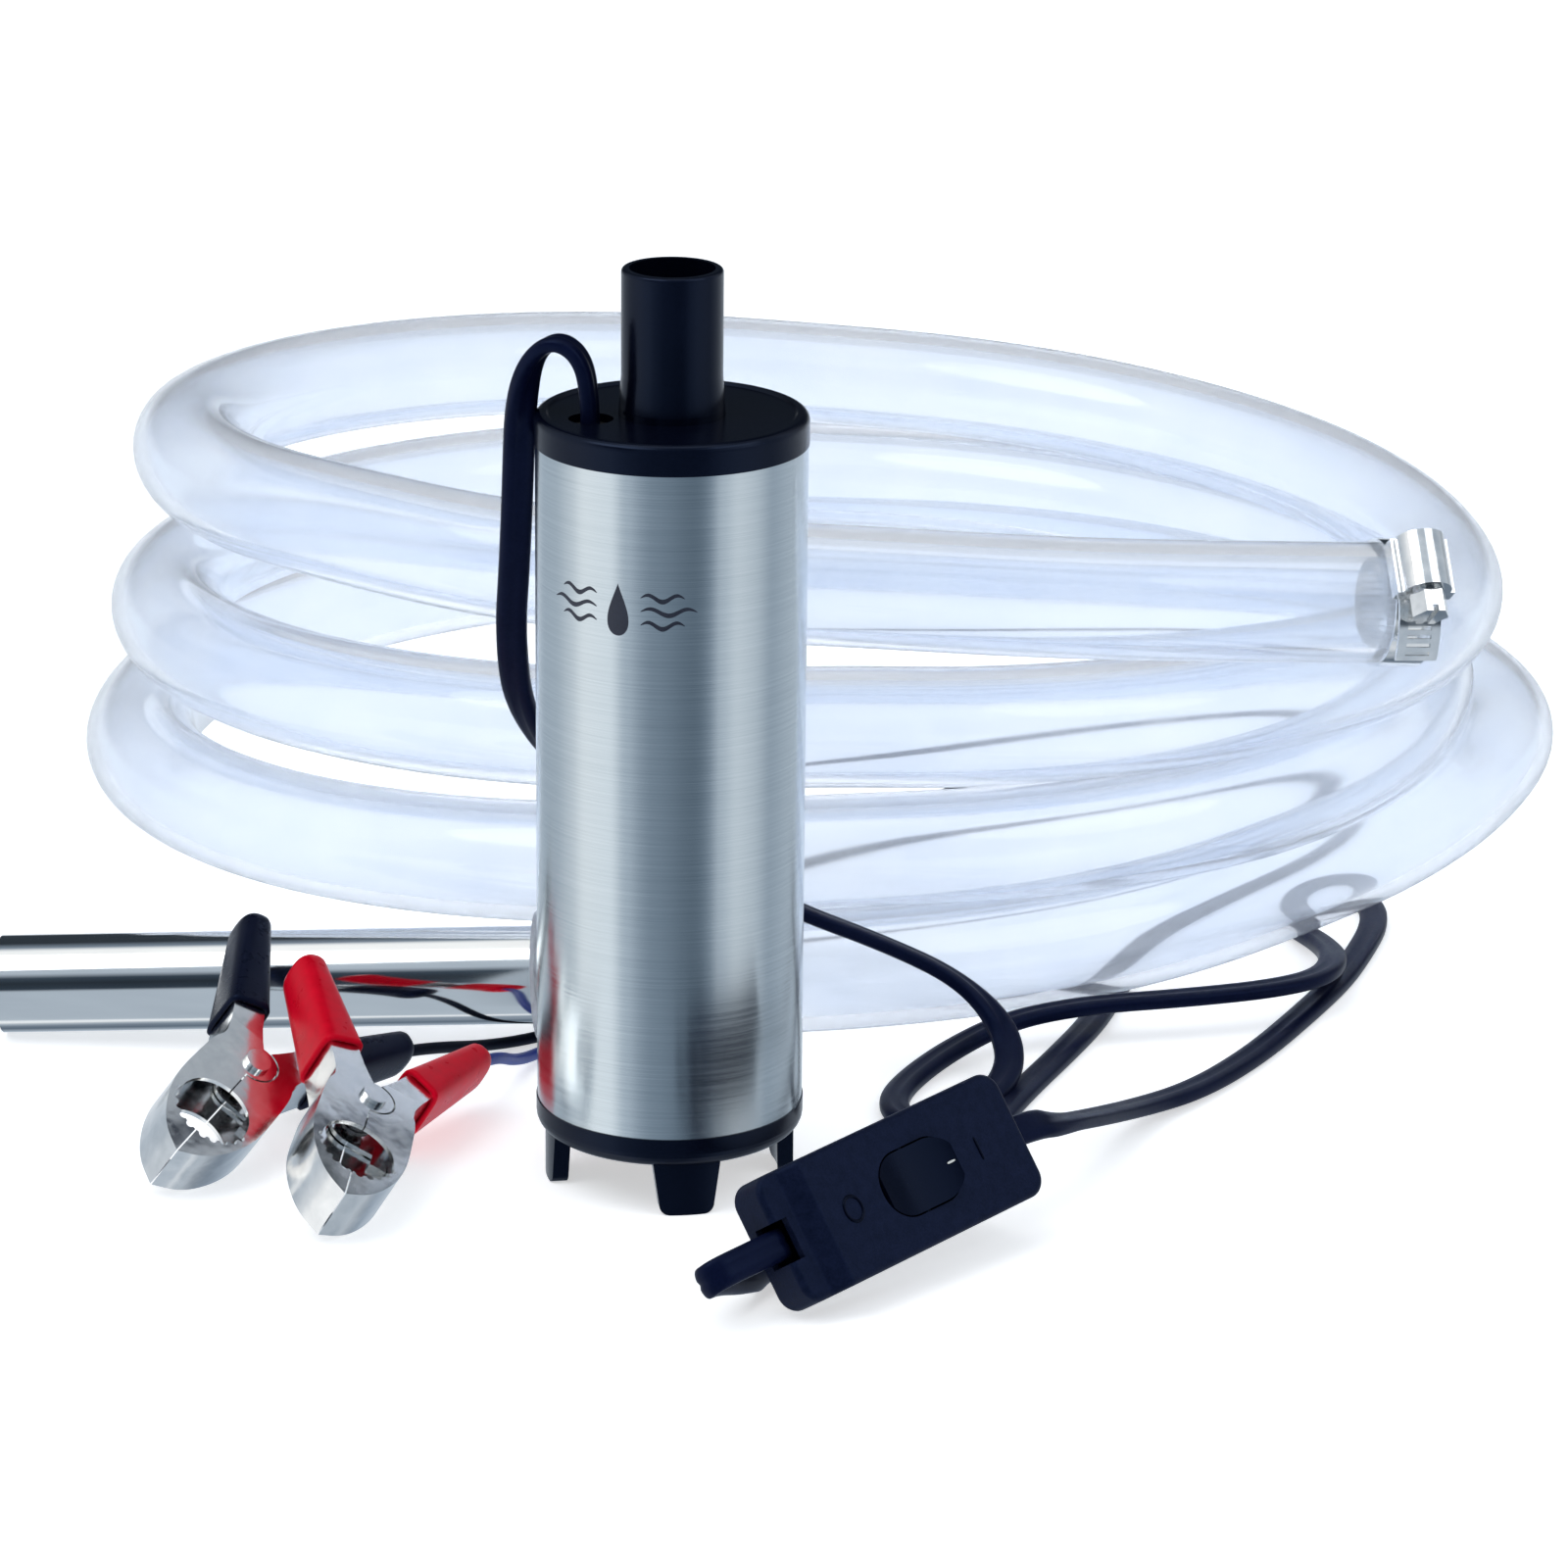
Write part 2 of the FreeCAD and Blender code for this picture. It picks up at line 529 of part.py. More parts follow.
save("switch_bottom_shell", placed(bottom_shell.removeSplitter(), switch_frame))
screws = []
for x in screw_places:
    screw = cylinder(2.1, -switch_t + 0.3, -switch_t + 1.6, x, screw_y)
    screw = screw.fuse(cylinder(1.1, -switch_t + 1.6, -3.0, x, screw_y))
    for turn in (0, 90):
        drive = block(x - 1.6, x + 1.6, screw_y - 0.3, screw_y + 0.3, -switch_t, -switch_t + 0.8)
        screw = screw.cut(spun(drive, turn, x, screw_y))
    screws.append(screw)
save("switch_screws", placed(Part.makeCompound(screws), switch_frame))

rocker_end = rocker_l / 2 - rocker_gap
drum = Part.makeCylinder(rocker_end, rocker_w, V(0, -rocker_w / 2, 0), V(0, 1, 0))
drum = drum.common(block(-20, 20, -20, 20, -2.4, 5.2))
hollow_r = 34.0
hollow = Part.makeCylinder(hollow_r, rocker_w + 2, V(0, -rocker_w / 2 - 1, hollow_r + 3.5), V(0, 1, 0))
drum = drum.cut(hollow)
plan = rounded_slab(rocker_l - 2 * rocker_short, rocker_w - 2 * rocker_gap, -9, 9, 5.8)
rocker = drum.common(plan)
axle = Part.makeCylinder(1.2, 2 * (rocker_w / 2 + 1.4), V(0, -rocker_w / 2 - 1.4, 0), V(0, 1, 0))
rocker = rocker.fuse(axle)
bridge = block(-5.5, 5.5, -2.0, 2.0, -4.0, -3.5)
spring = cylinder(1.5, -3.5, -2.4)
for name, shape in (("switch_rocker", rocker), ("switch_bridge", bridge), ("switch_spring", spring)):
    shape.rotate(V(0, 0, 0), V(0, 1, 0), -rocker_tilt)
    shape.translate(V(rocker_x, 0, pivot_z))
    save(name, placed(shape, switch_frame))
strips = []
for x in (-5.0, 5.0):
    post = block(rocker_x + x - 1.2, rocker_x + x + 1.2, -2, 2, -switch_t + switch_wall, pivot_z - 5.6)
    strips.append(post)
save("switch_contacts", placed(Part.makeCompound(strips), switch_frame))
print("rocker axis", switch_frame.multVec(V(rocker_x, 0, pivot_z)), switch_frame.Rotation.multVec(V(0, 1, 0)))


# ---- battery clips ----
def offset_line(points, distance):
    """Shift an open polyline sideways, to the right of its direction."""
    shifted = []
    for i in range(len(points)):
        before = points[max(i - 1, 0)]
        after = points[min(i + 1, len(points) - 1)]
        dx = after[0] - before[0]
        dy = after[1] - before[1]
        size = math.hypot(dx, dy)
        shifted.append((points[i][0] + distance * dy / size, points[i][1] - distance * dx / size))
    return shifted


def width_wedge(trim):
    """Plan of the pressed sheet, which narrows along the handles."""
    half = jaw_w / 2 - trim
    end_half = 3.9 - trim
    plan_points = [(-jaw_tip - 5, -half), (6, -half), (grip_len + 6, -end_half)]
    plan_points += [(grip_len + 6, end_half), (6, half), (-jaw_tip - 5, half)]
    wedge = flat(plan_points, -60, 60)
    wedge.rotate(V(0, 0, 0), V(1, 0, 0), 90)
    return wedge


grip_c = math.cos(math.radians(grip_angle))
grip_s = math.sin(math.radians(grip_angle))
handle_out = (grip_len * grip_c - 2.2 * grip_s, grip_len * grip_s + 2.2 * grip_c)
handle_in = (handle_out[0] + 4.4 * grip_s, handle_out[1] - 4.4 * grip_c)
back_line = [(-jaw_tip, 0.15), (-jaw_tip + 2.6, 3.6), (-jaw_tip + 8.5, 7.6), (-jaw_tip + 16, 9.8)]
back_line += [(-9, 10.0), (-1, 9.3), (8, 10.5), handle_out]
ear_r = 4.4


def pressed_face(back, rest):
    """Face between a smooth back line, whose last run is straight, and a chain of straight edges."""
    bend = [V(x, y, 0) for x, y in back[:-1]]
    last = V(back[-1][0], back[-1][1], 0)
    curve = Part.BSplineCurve()
    leave = (bend[1] - bend[0]).normalize()
    arrive = (last - bend[-1]).normalize()
    curve.interpolate(Points=bend, InitialTangent=leave, FinalTangent=arrive)
    corners = [bend[-1], last] + [V(x, y, 0) for x, y in rest] + [bend[0]]
    edges = [Part.LineSegment(p, q).toShape() for p, q in zip(corners, corners[1:])]
    return Part.Face(Part.Wire([curve.toShape()] + edges))


def clip_half(outer_half):
    """Pressed half: web along the back line, two side walls, and rivet ears."""
    half = jaw_w / 2
    play = 0.25
    side_wall = pressed_face(back_line, [handle_in, (13.5, 5.6), (9, 3.6), (6, 1.9), (3.5, 0.15)])
    side_wall.translate(V(0, 0, -half))
    full = side_wall.extrude(V(0, 0, 2 * half)).common(width_wedge(0))
    inside = offset_line(back_line, sheet)
    beyond = [(inside[-1][0] + 9, inside[-1][1] - 14), (14, -3), (-jaw_tip - 4, -3)]
    hollow_face = pressed_face(inside, beyond + [(-jaw_tip - 4, inside[0][1] - 0.2)])
    hollow_face.translate(V(0, 0, -half))
    void = hollow_face.extrude(V(0, 0, 2 * half)).common(width_wedge(sheet))
    shell = full.cut(void)
    mouth = Part.makeCylinder(mouth_r, 40, V(-jaw_tip + 15.5, 0, -20))
    if outer_half:
        for side in (-1, 1):
            z0 = half - sheet if side > 0 else -half
            shell = shell.fuse(cylinder(ear_r, z0, z0 + sheet))
        shell = shell.cut(cylinder(rivet_r + 0.05, -20, 20))
    else:
        shell = shell.cut(cylinder(ear_r + 0.4, half - sheet - play, 20))
        shell = shell.cut(cylinder(ear_r + 0.4, -20, -half + sheet + play))
        for side in (-1, 1):
            lug_z = sorted((side * (half - sheet - play), side * (half - 2 * sheet - play)))
            step_z = sorted((side * (half - 0.5), side * (half - 2 * sheet - play)))
            lug = cylinder(ear_r, *lug_z).fuse(block(-ear_r, ear_r, 0, 8.9, *lug_z))
            shell = shell.fuse(lug).fuse(block(-7.5, 7.0, 5.4, 8.9, *step_z))
        shell = shell.cut(cylinder(rivet_r, -20, 20))
    shell = shell.cut(mouth)
    for k in range(5):
        a = math.radians(100 + 17 * k)
        tooth = cylinder(0.8, -20, 20, -jaw_tip + 15.5 + mouth_r * math.cos(a), mouth_r * math.sin(a))
        shell = shell.cut(tooth)
    return shell.removeSplitter()


def along_grip(point):
    """A point of the half's outline, measured along and across its handle."""
    x, y = point
    return (x * grip_c + y * grip_s, y * grip_c - x * grip_s)


def grip_edge(start, x):
    """Height of a handle edge at x, for the edge that runs from start to the handle's end."""
    x0, y0 = along_grip(start)
    end_y = math.copysign(2.2, y0)
    return y0 + (end_y - y0) * (x - x0) / (grip_len - x0)


def clip_sleeve(wall):
    """Soft sleeve over a handle, closed at its end."""
    start = 15.0
    upper = grip_edge((8, 10.5), start)
    lower = grip_edge((13.5, 5.6), start)

    def plan(x0, x1, grow):
        body = flat([(x0, upper + grow), (x1, 2.2 + grow), (x1, -2.2 - grow), (x0, lower - grow)], -20, 20)
        body.rotate(V(0, 0, 0), V(0, 0, 1), grip_angle)
        return body

    body = plan(start, grip_len + 2.0, wall).common(width_wedge(-wall))
    return body.cut(plan(start - 0.01, grip_len + 0.2, 0).common(width_wedge(0)))


def battery_clip(prefix, frame):
    moving = clip_half(True)
    fixed = clip_half(False).mirror(V(0, 0, 0), V(0, 1, 0))
    sleeve = clip_sleeve(1.1)
    save(prefix + "_jaw_upper", placed(moving, frame))
    save(prefix + "_jaw_lower", placed(fixed, frame))
    save(prefix + "_sleeve_upper", placed(sleeve.cut(moving), frame))
    save(prefix + "_sleeve_lower", placed(sleeve.mirror(V(0, 0, 0), V(0, 1, 0)).cut(fixed), frame))
    half = jaw_w / 2
    rivet = cylinder(rivet_r, -half - 0.05, half + 0.05)
    for side in (-1, 1):
        z0 = half + 0.05 if side > 0 else -half - 1.0
        rivet = rivet.fuse(cylinder(2.6, z0, z0 + 0.95))
    save(prefix + "_rivet", placed(rivet.removeSplitter(), frame))
    spring_outline = []
    turns = 5
    pitch = 1.05
    for k in range(turns):
        spring_outline += corner_arc(2.7, -pitch * (turns - 1) / 2 + k * pitch, 0.5, -60, 60, 4)
    for k in reversed(range(turns)):
        spring_outline += corner_arc(2.7, -pitch * (turns - 1) / 2 + k * pitch, 0.5, 120, 240, 4)
    coil_spring = turned(spring_outline)
    leg = Part.makeCylinder(0.5, 9.0, V(2.0, -2.6, 0), V(grip_c, -grip_s, 0))
    save(prefix + "_spring", placed(coil_spring.fuse(leg).removeSplitter(), frame))
    print(prefix, "rivet axis", frame.Base, frame.Rotation.multVec(V(0, 0, 1)))
    print(prefix, "lower handle end", frame.multVec(V(grip_len * grip_c, -grip_len * grip_s, 0)))


black_frame = frame_at(V(-83.2, 10.4, 13.4), V(0.367, 0.915, 0.171), V(0.513, -0.352, 0.783))
red_frame = frame_at(V(-59.2, -8.4, 13.3), V(0.088, 0.979, 0.184), V(0.5, -0.203, 0.842))
battery_clip("clip_black", black_frame)
battery_clip("clip_red", red_frame)

# ---- leads ----
pump_lead = [(cord_hole.x, cord_hole.y, lead_z0), (cord_hole.x, cord_hole.y, 138.0)]
pump_lead += [(-15.0, -4.8, 155.5), (-16.6, -4.5, 163.0), (-21.5, -3.3, 165.9), (-26.2, -1.0, 161.6)]
pump_lead += [(-28.3, 2.0, 151.5), (-29.0, 7.0, 137), (-30.0, 14, 119), (-31.5, 23, 100), (-30.0, 33, 81)]
pump_lead += [(-19, 41, 64), (0, 44.5, 50), (22, 45, 38), (42, 53, 27.5), (57, 56.5, 19)]
pump_lead += [(66, 53, 11.5), (68, 42.5, 5.8), (62, 30, 3.2), (53.5, 21.5, 2.3), (45.8, 22.0, 2.2)]
pump_lead += [(43.3, 31, 2.3), (47, 43, 2.6), (56, 57, 4), (68, 66.5, 6.8), (84, 71, 8.6)]
pump_lead += [(104, 74.5, 9.0), (123, 80, 9.2), (134, 89, 8.6), (138, 103, 7.6), (136, 119, 5.4)]
pump_lead += [(131.5, 136, 2.8), (132.5, 150, 2.2), (138.5, 159.5, 2.3), (146.3, 159.5, 2.2), (150.3, 151, 2.3)]
pump_lead += [(149.5, 138, 2.2), (145, 122, 2.3), (139, 104, 2.2), (130, 84, 2.3), (118, 60, 2.2)]
pump_lead += [(105, 39.5, 2.6), (92, 24, 4.5)]
switch_in = switch_frame.multVec(V(switch_l / 2 + 13, 0, split_z))
switch_seat = switch_frame.multVec(V(switch_l / 2 - 3, 0, split_z))
pump_lead += [tuple(switch_in + V(3.0, 3.5, -3.0)), tuple(switch_in - switch_x * 4), tuple(switch_seat)]
save("pump_lead", tube("pump lead", pump_lead, lead_r))

switch_out = switch_frame.multVec(V(-switch_l / 2 - 7, 0, split_z))
switch_rest = switch_frame.multVec(V(-switch_l / 2 + 3, 0, split_z))
battery_lead = [tuple(switch_rest), tuple(switch_out), (11.5, -74.5, 5.5), (16.5, -62, 2.2), (24, -47, 2.2)]
battery_lead += [(36, -28, 2.3), (50, -7, 2.2), (62, 17, 2.3), (70, 39, 2.2), (78, 58, 2.2)]
battery_lead += [(86, 78, 2.3), (91, 98, 2.2), (101, 128, 2.3), (118, 157, 2.2), (137, 184, 2.3)]
battery_lead += [(148, 213, 2.2), (149, 243, 2.3), (134, 268, 2.2), (108, 270, 2.3), (82, 252, 2.2)]
battery_lead += [(60, 225, 2.3), (41, 195, 2.2), (24, 165, 2.3), (10, 138, 2.2), (0, 114, 2.2)]
save("battery_lead", tube("battery lead", battery_lead, lead_r))

split = V(*battery_lead[-1])
black_end = black_frame.multVec(V((grip_len + 2) * grip_c, -(grip_len + 2) * grip_s, 0))
black_way = black_frame.Rotation.multVec(V(grip_c, -grip_s, 0))
red_end = red_frame.multVec(V((grip_len + 2) * grip_c, -(grip_len + 2) * grip_s, 0))
red_way = red_frame.Rotation.multVec(V(grip_c, -grip_s, 0))
wire_z = wire_r + 0.1
split_way = (split - V(*battery_lead[-2])).normalize()
split_side = V(-split_way.y, split_way.x, 0).normalize() * (wire_r + 0.02)
black_start = split - split_side
blue_start = split + split_side
wire_black = [tuple(black_start), tuple(black_start + split_way * 9), (-9.5, 89, wire_z)]
wire_black += [(-15.5, 78, wire_z + 0.05), (-24.5, 69.5, wire_z), (-37, 61, wire_z + 0.3)]
wire_black += [tuple(black_end + black_way * 7), tuple(black_end)]
save("wire_black", tube("black wire", wire_black, wire_r))
wire_blue = [tuple(blue_start), tuple(blue_start + split_way * 9), (-4.5, 89, wire_z)]
wire_blue += [(-9.5, 78, wire_z + 0.05), (-17.5, 69, wire_z), (-25.5, 61, wire_z + 0.05), (-31.5, 50, 2.5)]
wire_blue += [tuple(red_end + red_way * 7), tuple(red_end)]
save("wire_blue", tube("blue wire", wire_blue, wire_r))
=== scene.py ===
import math

import bpy
import numpy as np
from mathutils import Matrix, Vector


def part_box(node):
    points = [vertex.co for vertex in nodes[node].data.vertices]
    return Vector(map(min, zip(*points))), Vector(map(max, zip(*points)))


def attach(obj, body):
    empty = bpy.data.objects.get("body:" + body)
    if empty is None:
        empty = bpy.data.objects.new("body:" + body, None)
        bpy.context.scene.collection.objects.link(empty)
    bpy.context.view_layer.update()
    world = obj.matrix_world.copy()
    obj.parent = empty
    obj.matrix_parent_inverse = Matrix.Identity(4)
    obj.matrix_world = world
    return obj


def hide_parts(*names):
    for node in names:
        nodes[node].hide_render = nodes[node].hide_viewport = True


# Submersible transfer pump with its clear hose, nozzle tube, switched lead and battery clips, in metres.

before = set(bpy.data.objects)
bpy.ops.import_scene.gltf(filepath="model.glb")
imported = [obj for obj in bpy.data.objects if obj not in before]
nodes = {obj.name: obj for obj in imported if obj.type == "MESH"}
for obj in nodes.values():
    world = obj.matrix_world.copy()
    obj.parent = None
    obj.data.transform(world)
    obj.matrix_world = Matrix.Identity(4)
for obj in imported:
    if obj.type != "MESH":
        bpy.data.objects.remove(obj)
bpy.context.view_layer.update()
scene = bpy.context.scene
print("frame loaded:", len(nodes), "nodes")


# directions and places
def unit(v):
    v = np.asarray(v, float)
    return v / np.linalg.norm(v, axis=-1, keepdims=True)


def inMetres(points):
    return np.asarray(points, float) / 1000


def easeBetween(x, start, stop):
    # 0 before start, 1 after stop, a smooth cubic between them
    t = np.clip((x - start) / (stop - start), 0, 1)
    return t * t * (3 - 2 * t)


def localFrame(origin, xDir, zDir):
    # an origin and three axes at right angles, X along xDir and Z as near zDir as that allows
    x = unit(xDir)
    z = unit(np.asarray(zDir) - x * np.dot(x, zDir))
    return inMetres(origin), x, np.cross(z, x), z


def toWorld(axes, points):
    origin, x, y, z = axes
    points = np.asarray(points, float)
    return origin + points[..., 0:1] * x + points[..., 1:2] * y + points[..., 2:3] * z


def newPiece(name, verts, faces, body, smooth=True):
    mesh = bpy.data.meshes.new(name)
    mesh.from_pydata(np.asarray(verts).tolist(), [], faces)
    mesh.validate()
    mesh.polygons.foreach_set("use_smooth", np.full(len(mesh.polygons), smooth))
    piece = bpy.data.objects.new(name, mesh)
    scene.collection.objects.link(piece)
    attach(piece, body)
    return piece


def gridFaces(rows, columns, closeRows=False, closeColumns=True):
    # quads of a grid of points, row after row, that may join up in either direction
    r = np.arange(rows if closeRows else rows - 1)[:, None]
    c = np.arange(columns if closeColumns else columns - 1)[None, :]
    r2 = (r + 1) % rows
    c2 = (c + 1) % columns
    quads = np.stack([r * columns + c, r * columns + c2, r2 * columns + c2, r2 * columns + c], -1)
    return quads.reshape(-1, 4).tolist()


def arcLength(points):
    steps = np.linalg.norm(np.diff(points, axis=0), axis=1)
    return np.concatenate([[0], np.cumsum(steps)])


def splinePoints(route, steps):
    # the points that a smooth NURBS line through the route's control points passes
    curve = bpy.data.curves.new("routeLine", "CURVE")
    curve.dimensions = "3D"
    spline = curve.splines.new("NURBS")
    spline.points.add(len(route) - 1)
    spline.points.foreach_set("co", np.column_stack([route, np.ones(len(route))]).ravel())
    spline.order_u = 3
    spline.use_endpoint_u = True
    spline.resolution_u = steps
    holder = bpy.data.objects.new("routeLine", curve)
    scene.collection.objects.link(holder)
    line = bpy.data.meshes.new_from_object(holder)
    points = np.empty(len(line.vertices) * 3)
    line.vertices.foreach_get("co", points)
    bpy.data.objects.remove(holder)
    bpy.data.curves.remove(curve)
    bpy.data.meshes.remove(line)
    points = points.reshape(-1, 3)
    keep = np.concatenate([[True], np.linalg.norm(np.diff(points, axis=0), axis=1) > 1e-6])
    return points[keep]


def tangents(points):
    return unit(np.gradient(points, axis=0))


def levelAxes(points, startWide=None, endWide=None, holdLength=0.006, blendLength=0.03, window=15):
    # across = up x tangent, on one side all along, averaged so that it stays steady where the line stands
    # upright, and turned near an end to a given direction
    along = tangents(points)
    raw = np.cross((0.0, 0.0, 1.0), along)
    sameWay = np.where(np.sum(raw[1:] * raw[:-1], 1) < 0, -1, 1)
    raw[1:] *= np.cumprod(sameWay)[:, None]
    padded = np.pad(raw, ((window, window), (0, 0)), mode="edge")
    weights = np.hanning(2 * window + 1)
    across = np.stack([np.convolve(padded[:, k], weights, mode="valid") for k in range(3)], -1)
    across = unit(across)
    length = arcLength(points)
    for wanted, distance in ((startWide, length), (endWide, length[-1] - length)):
        if wanted is None:
            continue
        nearest = across[np.argmin(distance)]
        wanted = unit(wanted) * (1 if np.dot(nearest, wanted) >= 0 else -1)
        share = 1 - easeBetween(distance, holdLength, blendLength)[:, None]
        across = unit(across * (1 - share) + wanted * share)
    across = unit(across - along * np.sum(across * along, 1, keepdims=True))
    return along, across, np.cross(along, across)


def closedFaces(rows, columns):
    # quads of a tube of rings, with one face across each end
    faces = gridFaces(rows, columns)
    faces.append(list(range(columns))[::-1])
    faces.append([(rows - 1) * columns + k for k in range(columns)])
    return faces


def sweptSolid(points, section, axes, shares=1.0):
    # a closed section (across, up) carried along the points, each ring at its share of the full size
    _, across, up = axes
    spoke = section[None, :, 0:1] * across[:, None] + section[None, :, 1:2] * up[:, None]
    rings = points[:, None] + spoke * np.broadcast_to(shares, len(points))[:, None, None]
    return rings.reshape(-1, 3), closedFaces(len(points), len(section))


def roundSection(radius, sides):
    a = np.arange(sides) * 2 * math.pi / sides
    return np.column_stack([radius * np.cos(a), radius * np.sin(a)])


# the view, from a little above and in front
cameraSpec = {
    "place": (0.021485, -1.044208, 0.42588),
    "pitch": 0.3210,       # looking down, radians
    "roll": 0.0100,
    "lens": 133.236,
    "sensor": 36.0,
    "nearest": 0.05,
    "farthest": 60,
}


def makeCamera(spec):
    data = bpy.data.cameras.new("camera")
    data.lens = spec["lens"]
    data.sensor_width = spec["sensor"]
    data.clip_start = spec["nearest"]
    data.clip_end = spec["farthest"]
    camera = bpy.data.objects.new("camera", data)
    forward = Vector((0, math.cos(spec["pitch"]), -math.sin(spec["pitch"])))
    right = Vector((1, 0, 0))
    up = right.cross(forward)
    turnedRight = right * math.cos(spec["roll"]) + up * math.sin(spec["roll"])
    turnedUp = up * math.cos(spec["roll"]) - right * math.sin(spec["roll"])
    turn = Matrix((turnedRight, turnedUp, -forward)).transposed()
    camera.matrix_world = Matrix.Translation(spec["place"]) @ turn.to_4x4()
    scene.collection.objects.link(camera)
    scene.camera = camera


makeCamera(cameraSpec)


# finishes, all made from one group of noise
def nodeAt(tree, kind, **settings):
    node = tree.nodes.new(kind)
    for key, value in settings.items():
        setattr(node, key, value)
    return node


def makeGrainGroup():
    # two tones mixed by stretched noise, with a roughness and a height that follow finer noise
    group = bpy.data.node_groups.new("surfaceGrain", "ShaderNodeTree")
    face = group.interface
    for name, kind, value in (
        ("Tone A", "NodeSocketColor", (0.5, 0.5, 0.5, 1)),
        ("Tone B", "NodeSocketColor", (0.5, 0.5, 0.5, 1)),
        ("Blotch Scale", "NodeSocketFloat", 60.0),
        ("Grain Scale", "NodeSocketFloat", 900.0),
        ("Stretch", "NodeSocketVector", (1, 1, 1)),
        ("Roughness Low", "NodeSocketFloat", 0.3),
        ("Roughness High", "NodeSocketFloat", 0.5),
    ):
        socket = face.new_socket(name=name, in_out="INPUT", socket_type=kind)
        socket.default_value = value
    for name, kind in (
        ("Color", "NodeSocketColor"),
        ("Roughness", "NodeSocketFloat"),
        ("Height", "NodeSocketFloat"),
    ):
        face.new_socket(name=name, in_out="OUTPUT", socket_type=kind)
    link = group.links.new
    given = nodeAt(group, "NodeGroupInput")
    result = nodeAt(group, "NodeGroupOutput")
    place = nodeAt(group, "ShaderNodeTexCoord")
    stretched = nodeAt(group, "ShaderNodeVectorMath", operation="MULTIPLY")
    link(place.outputs["Object"], stretched.inputs[0])
    link(given.outputs["Stretch"], stretched.inputs[1])
    blotch = nodeAt(group, "ShaderNodeTexNoise")
    blotch.inputs["Detail"].default_value = 3
    link(stretched.outputs[0], blotch.inputs["Vector"])
    link(given.outputs["Blotch Scale"], blotch.inputs["Scale"])
    grain = nodeAt(group, "ShaderNodeTexNoise")
    grain.inputs["Detail"].default_value = 2
    link(stretched.outputs[0], grain.inputs["Vector"])
    link(given.outputs["Grain Scale"], grain.inputs["Scale"])
    both = nodeAt(group, "ShaderNodeMath", operation="ADD")
    both.use_clamp = False
    link(blotch.outputs["Fac"], both.inputs[0])
    link(grain.outputs["Fac"], both.inputs[1])
    share = nodeAt(group, "ShaderNodeMapRange")
    share.inputs["From Min"].default_value = 0.7
    share.inputs["From Max"].default_value = 1.3
    link(both.outputs[0], share.inputs["Value"])
    tone = nodeAt(group, "ShaderNodeMix", data_type="RGBA")
    link(share.outputs[0], tone.inputs["Factor"])
    link(given.outputs["Tone A"], tone.inputs[6])
    link(given.outputs["Tone B"], tone.inputs[7])
    link(tone.outputs[2], result.inputs["Color"])
    rough = nodeAt(group, "ShaderNodeMapRange")
    link(share.outputs[0], rough.inputs["Value"])
    link(given.outputs["Roughness Low"], rough.inputs["To Min"])
    link(given.outputs["Roughness High"], rough.inputs["To Max"])
    link(rough.outputs[0], result.inputs["Roughness"])
    link(grain.outputs["Fac"], result.inputs["Height"])
    return group


grainGroup = makeGrainGroup()


def makeMaterial(name, spec):
    # a Principled surface whose colour, roughness and height come from the grain group
    made = bpy.data.materials.new(name)
    made.use_nodes = True
    tree = made.node_tree
    shader = tree.nodes["Principled BSDF"]
    grain = nodeAt(tree, "ShaderNodeGroup", node_tree=grainGroup)
    toneA = spec["tone"]
    toneB = spec.get("tone2", tuple(min(1.0, c * 1.18) for c in toneA))
    grain.inputs["Tone A"].default_value = (*toneA, 1)
    grain.inputs["Tone B"].default_value = (*toneB, 1)
    grain.inputs["Blotch Scale"].default_value = spec.get("blotch", 60)
    grain.inputs["Grain Scale"].default_value = spec.get("grain", 900)
    grain.inputs["Stretch"].default_value = spec.get("stretch", (1, 1, 1))
    grain.inputs["Roughness Low"].default_value = spec["rough"][0]
    grain.inputs["Roughness High"].default_value = spec["rough"][1]
    tree.links.new(grain.outputs["Color"], shader.inputs["Base Color"])
    tree.links.new(grain.outputs["Roughness"], shader.inputs["Roughness"])
    bump = nodeAt(tree, "ShaderNodeBump")
    bump.inputs["Strength"].default_value = spec.get("bump", 0.1)
    bump.inputs["Distance"].default_value = spec.get("depth", 0.0002)
    tree.links.new(grain.outputs["Height"], bump.inputs["Height"])
    tree.links.new(bump.outputs["Normal"], shader.inputs["Normal"])
    shader.inputs["Metallic"].default_value = spec.get("metal", 0.0)
    for key, value in spec.get("sockets", {}).items():
        shader.inputs[key].default_value = value
    if "tangent" in spec:
        tangent = nodeAt(tree, "ShaderNodeTangent", direction_type="RADIAL", axis=spec["tangent"])
        tree.links.new(tangent.outputs[0], shader.inputs["Tangent"])
    return made


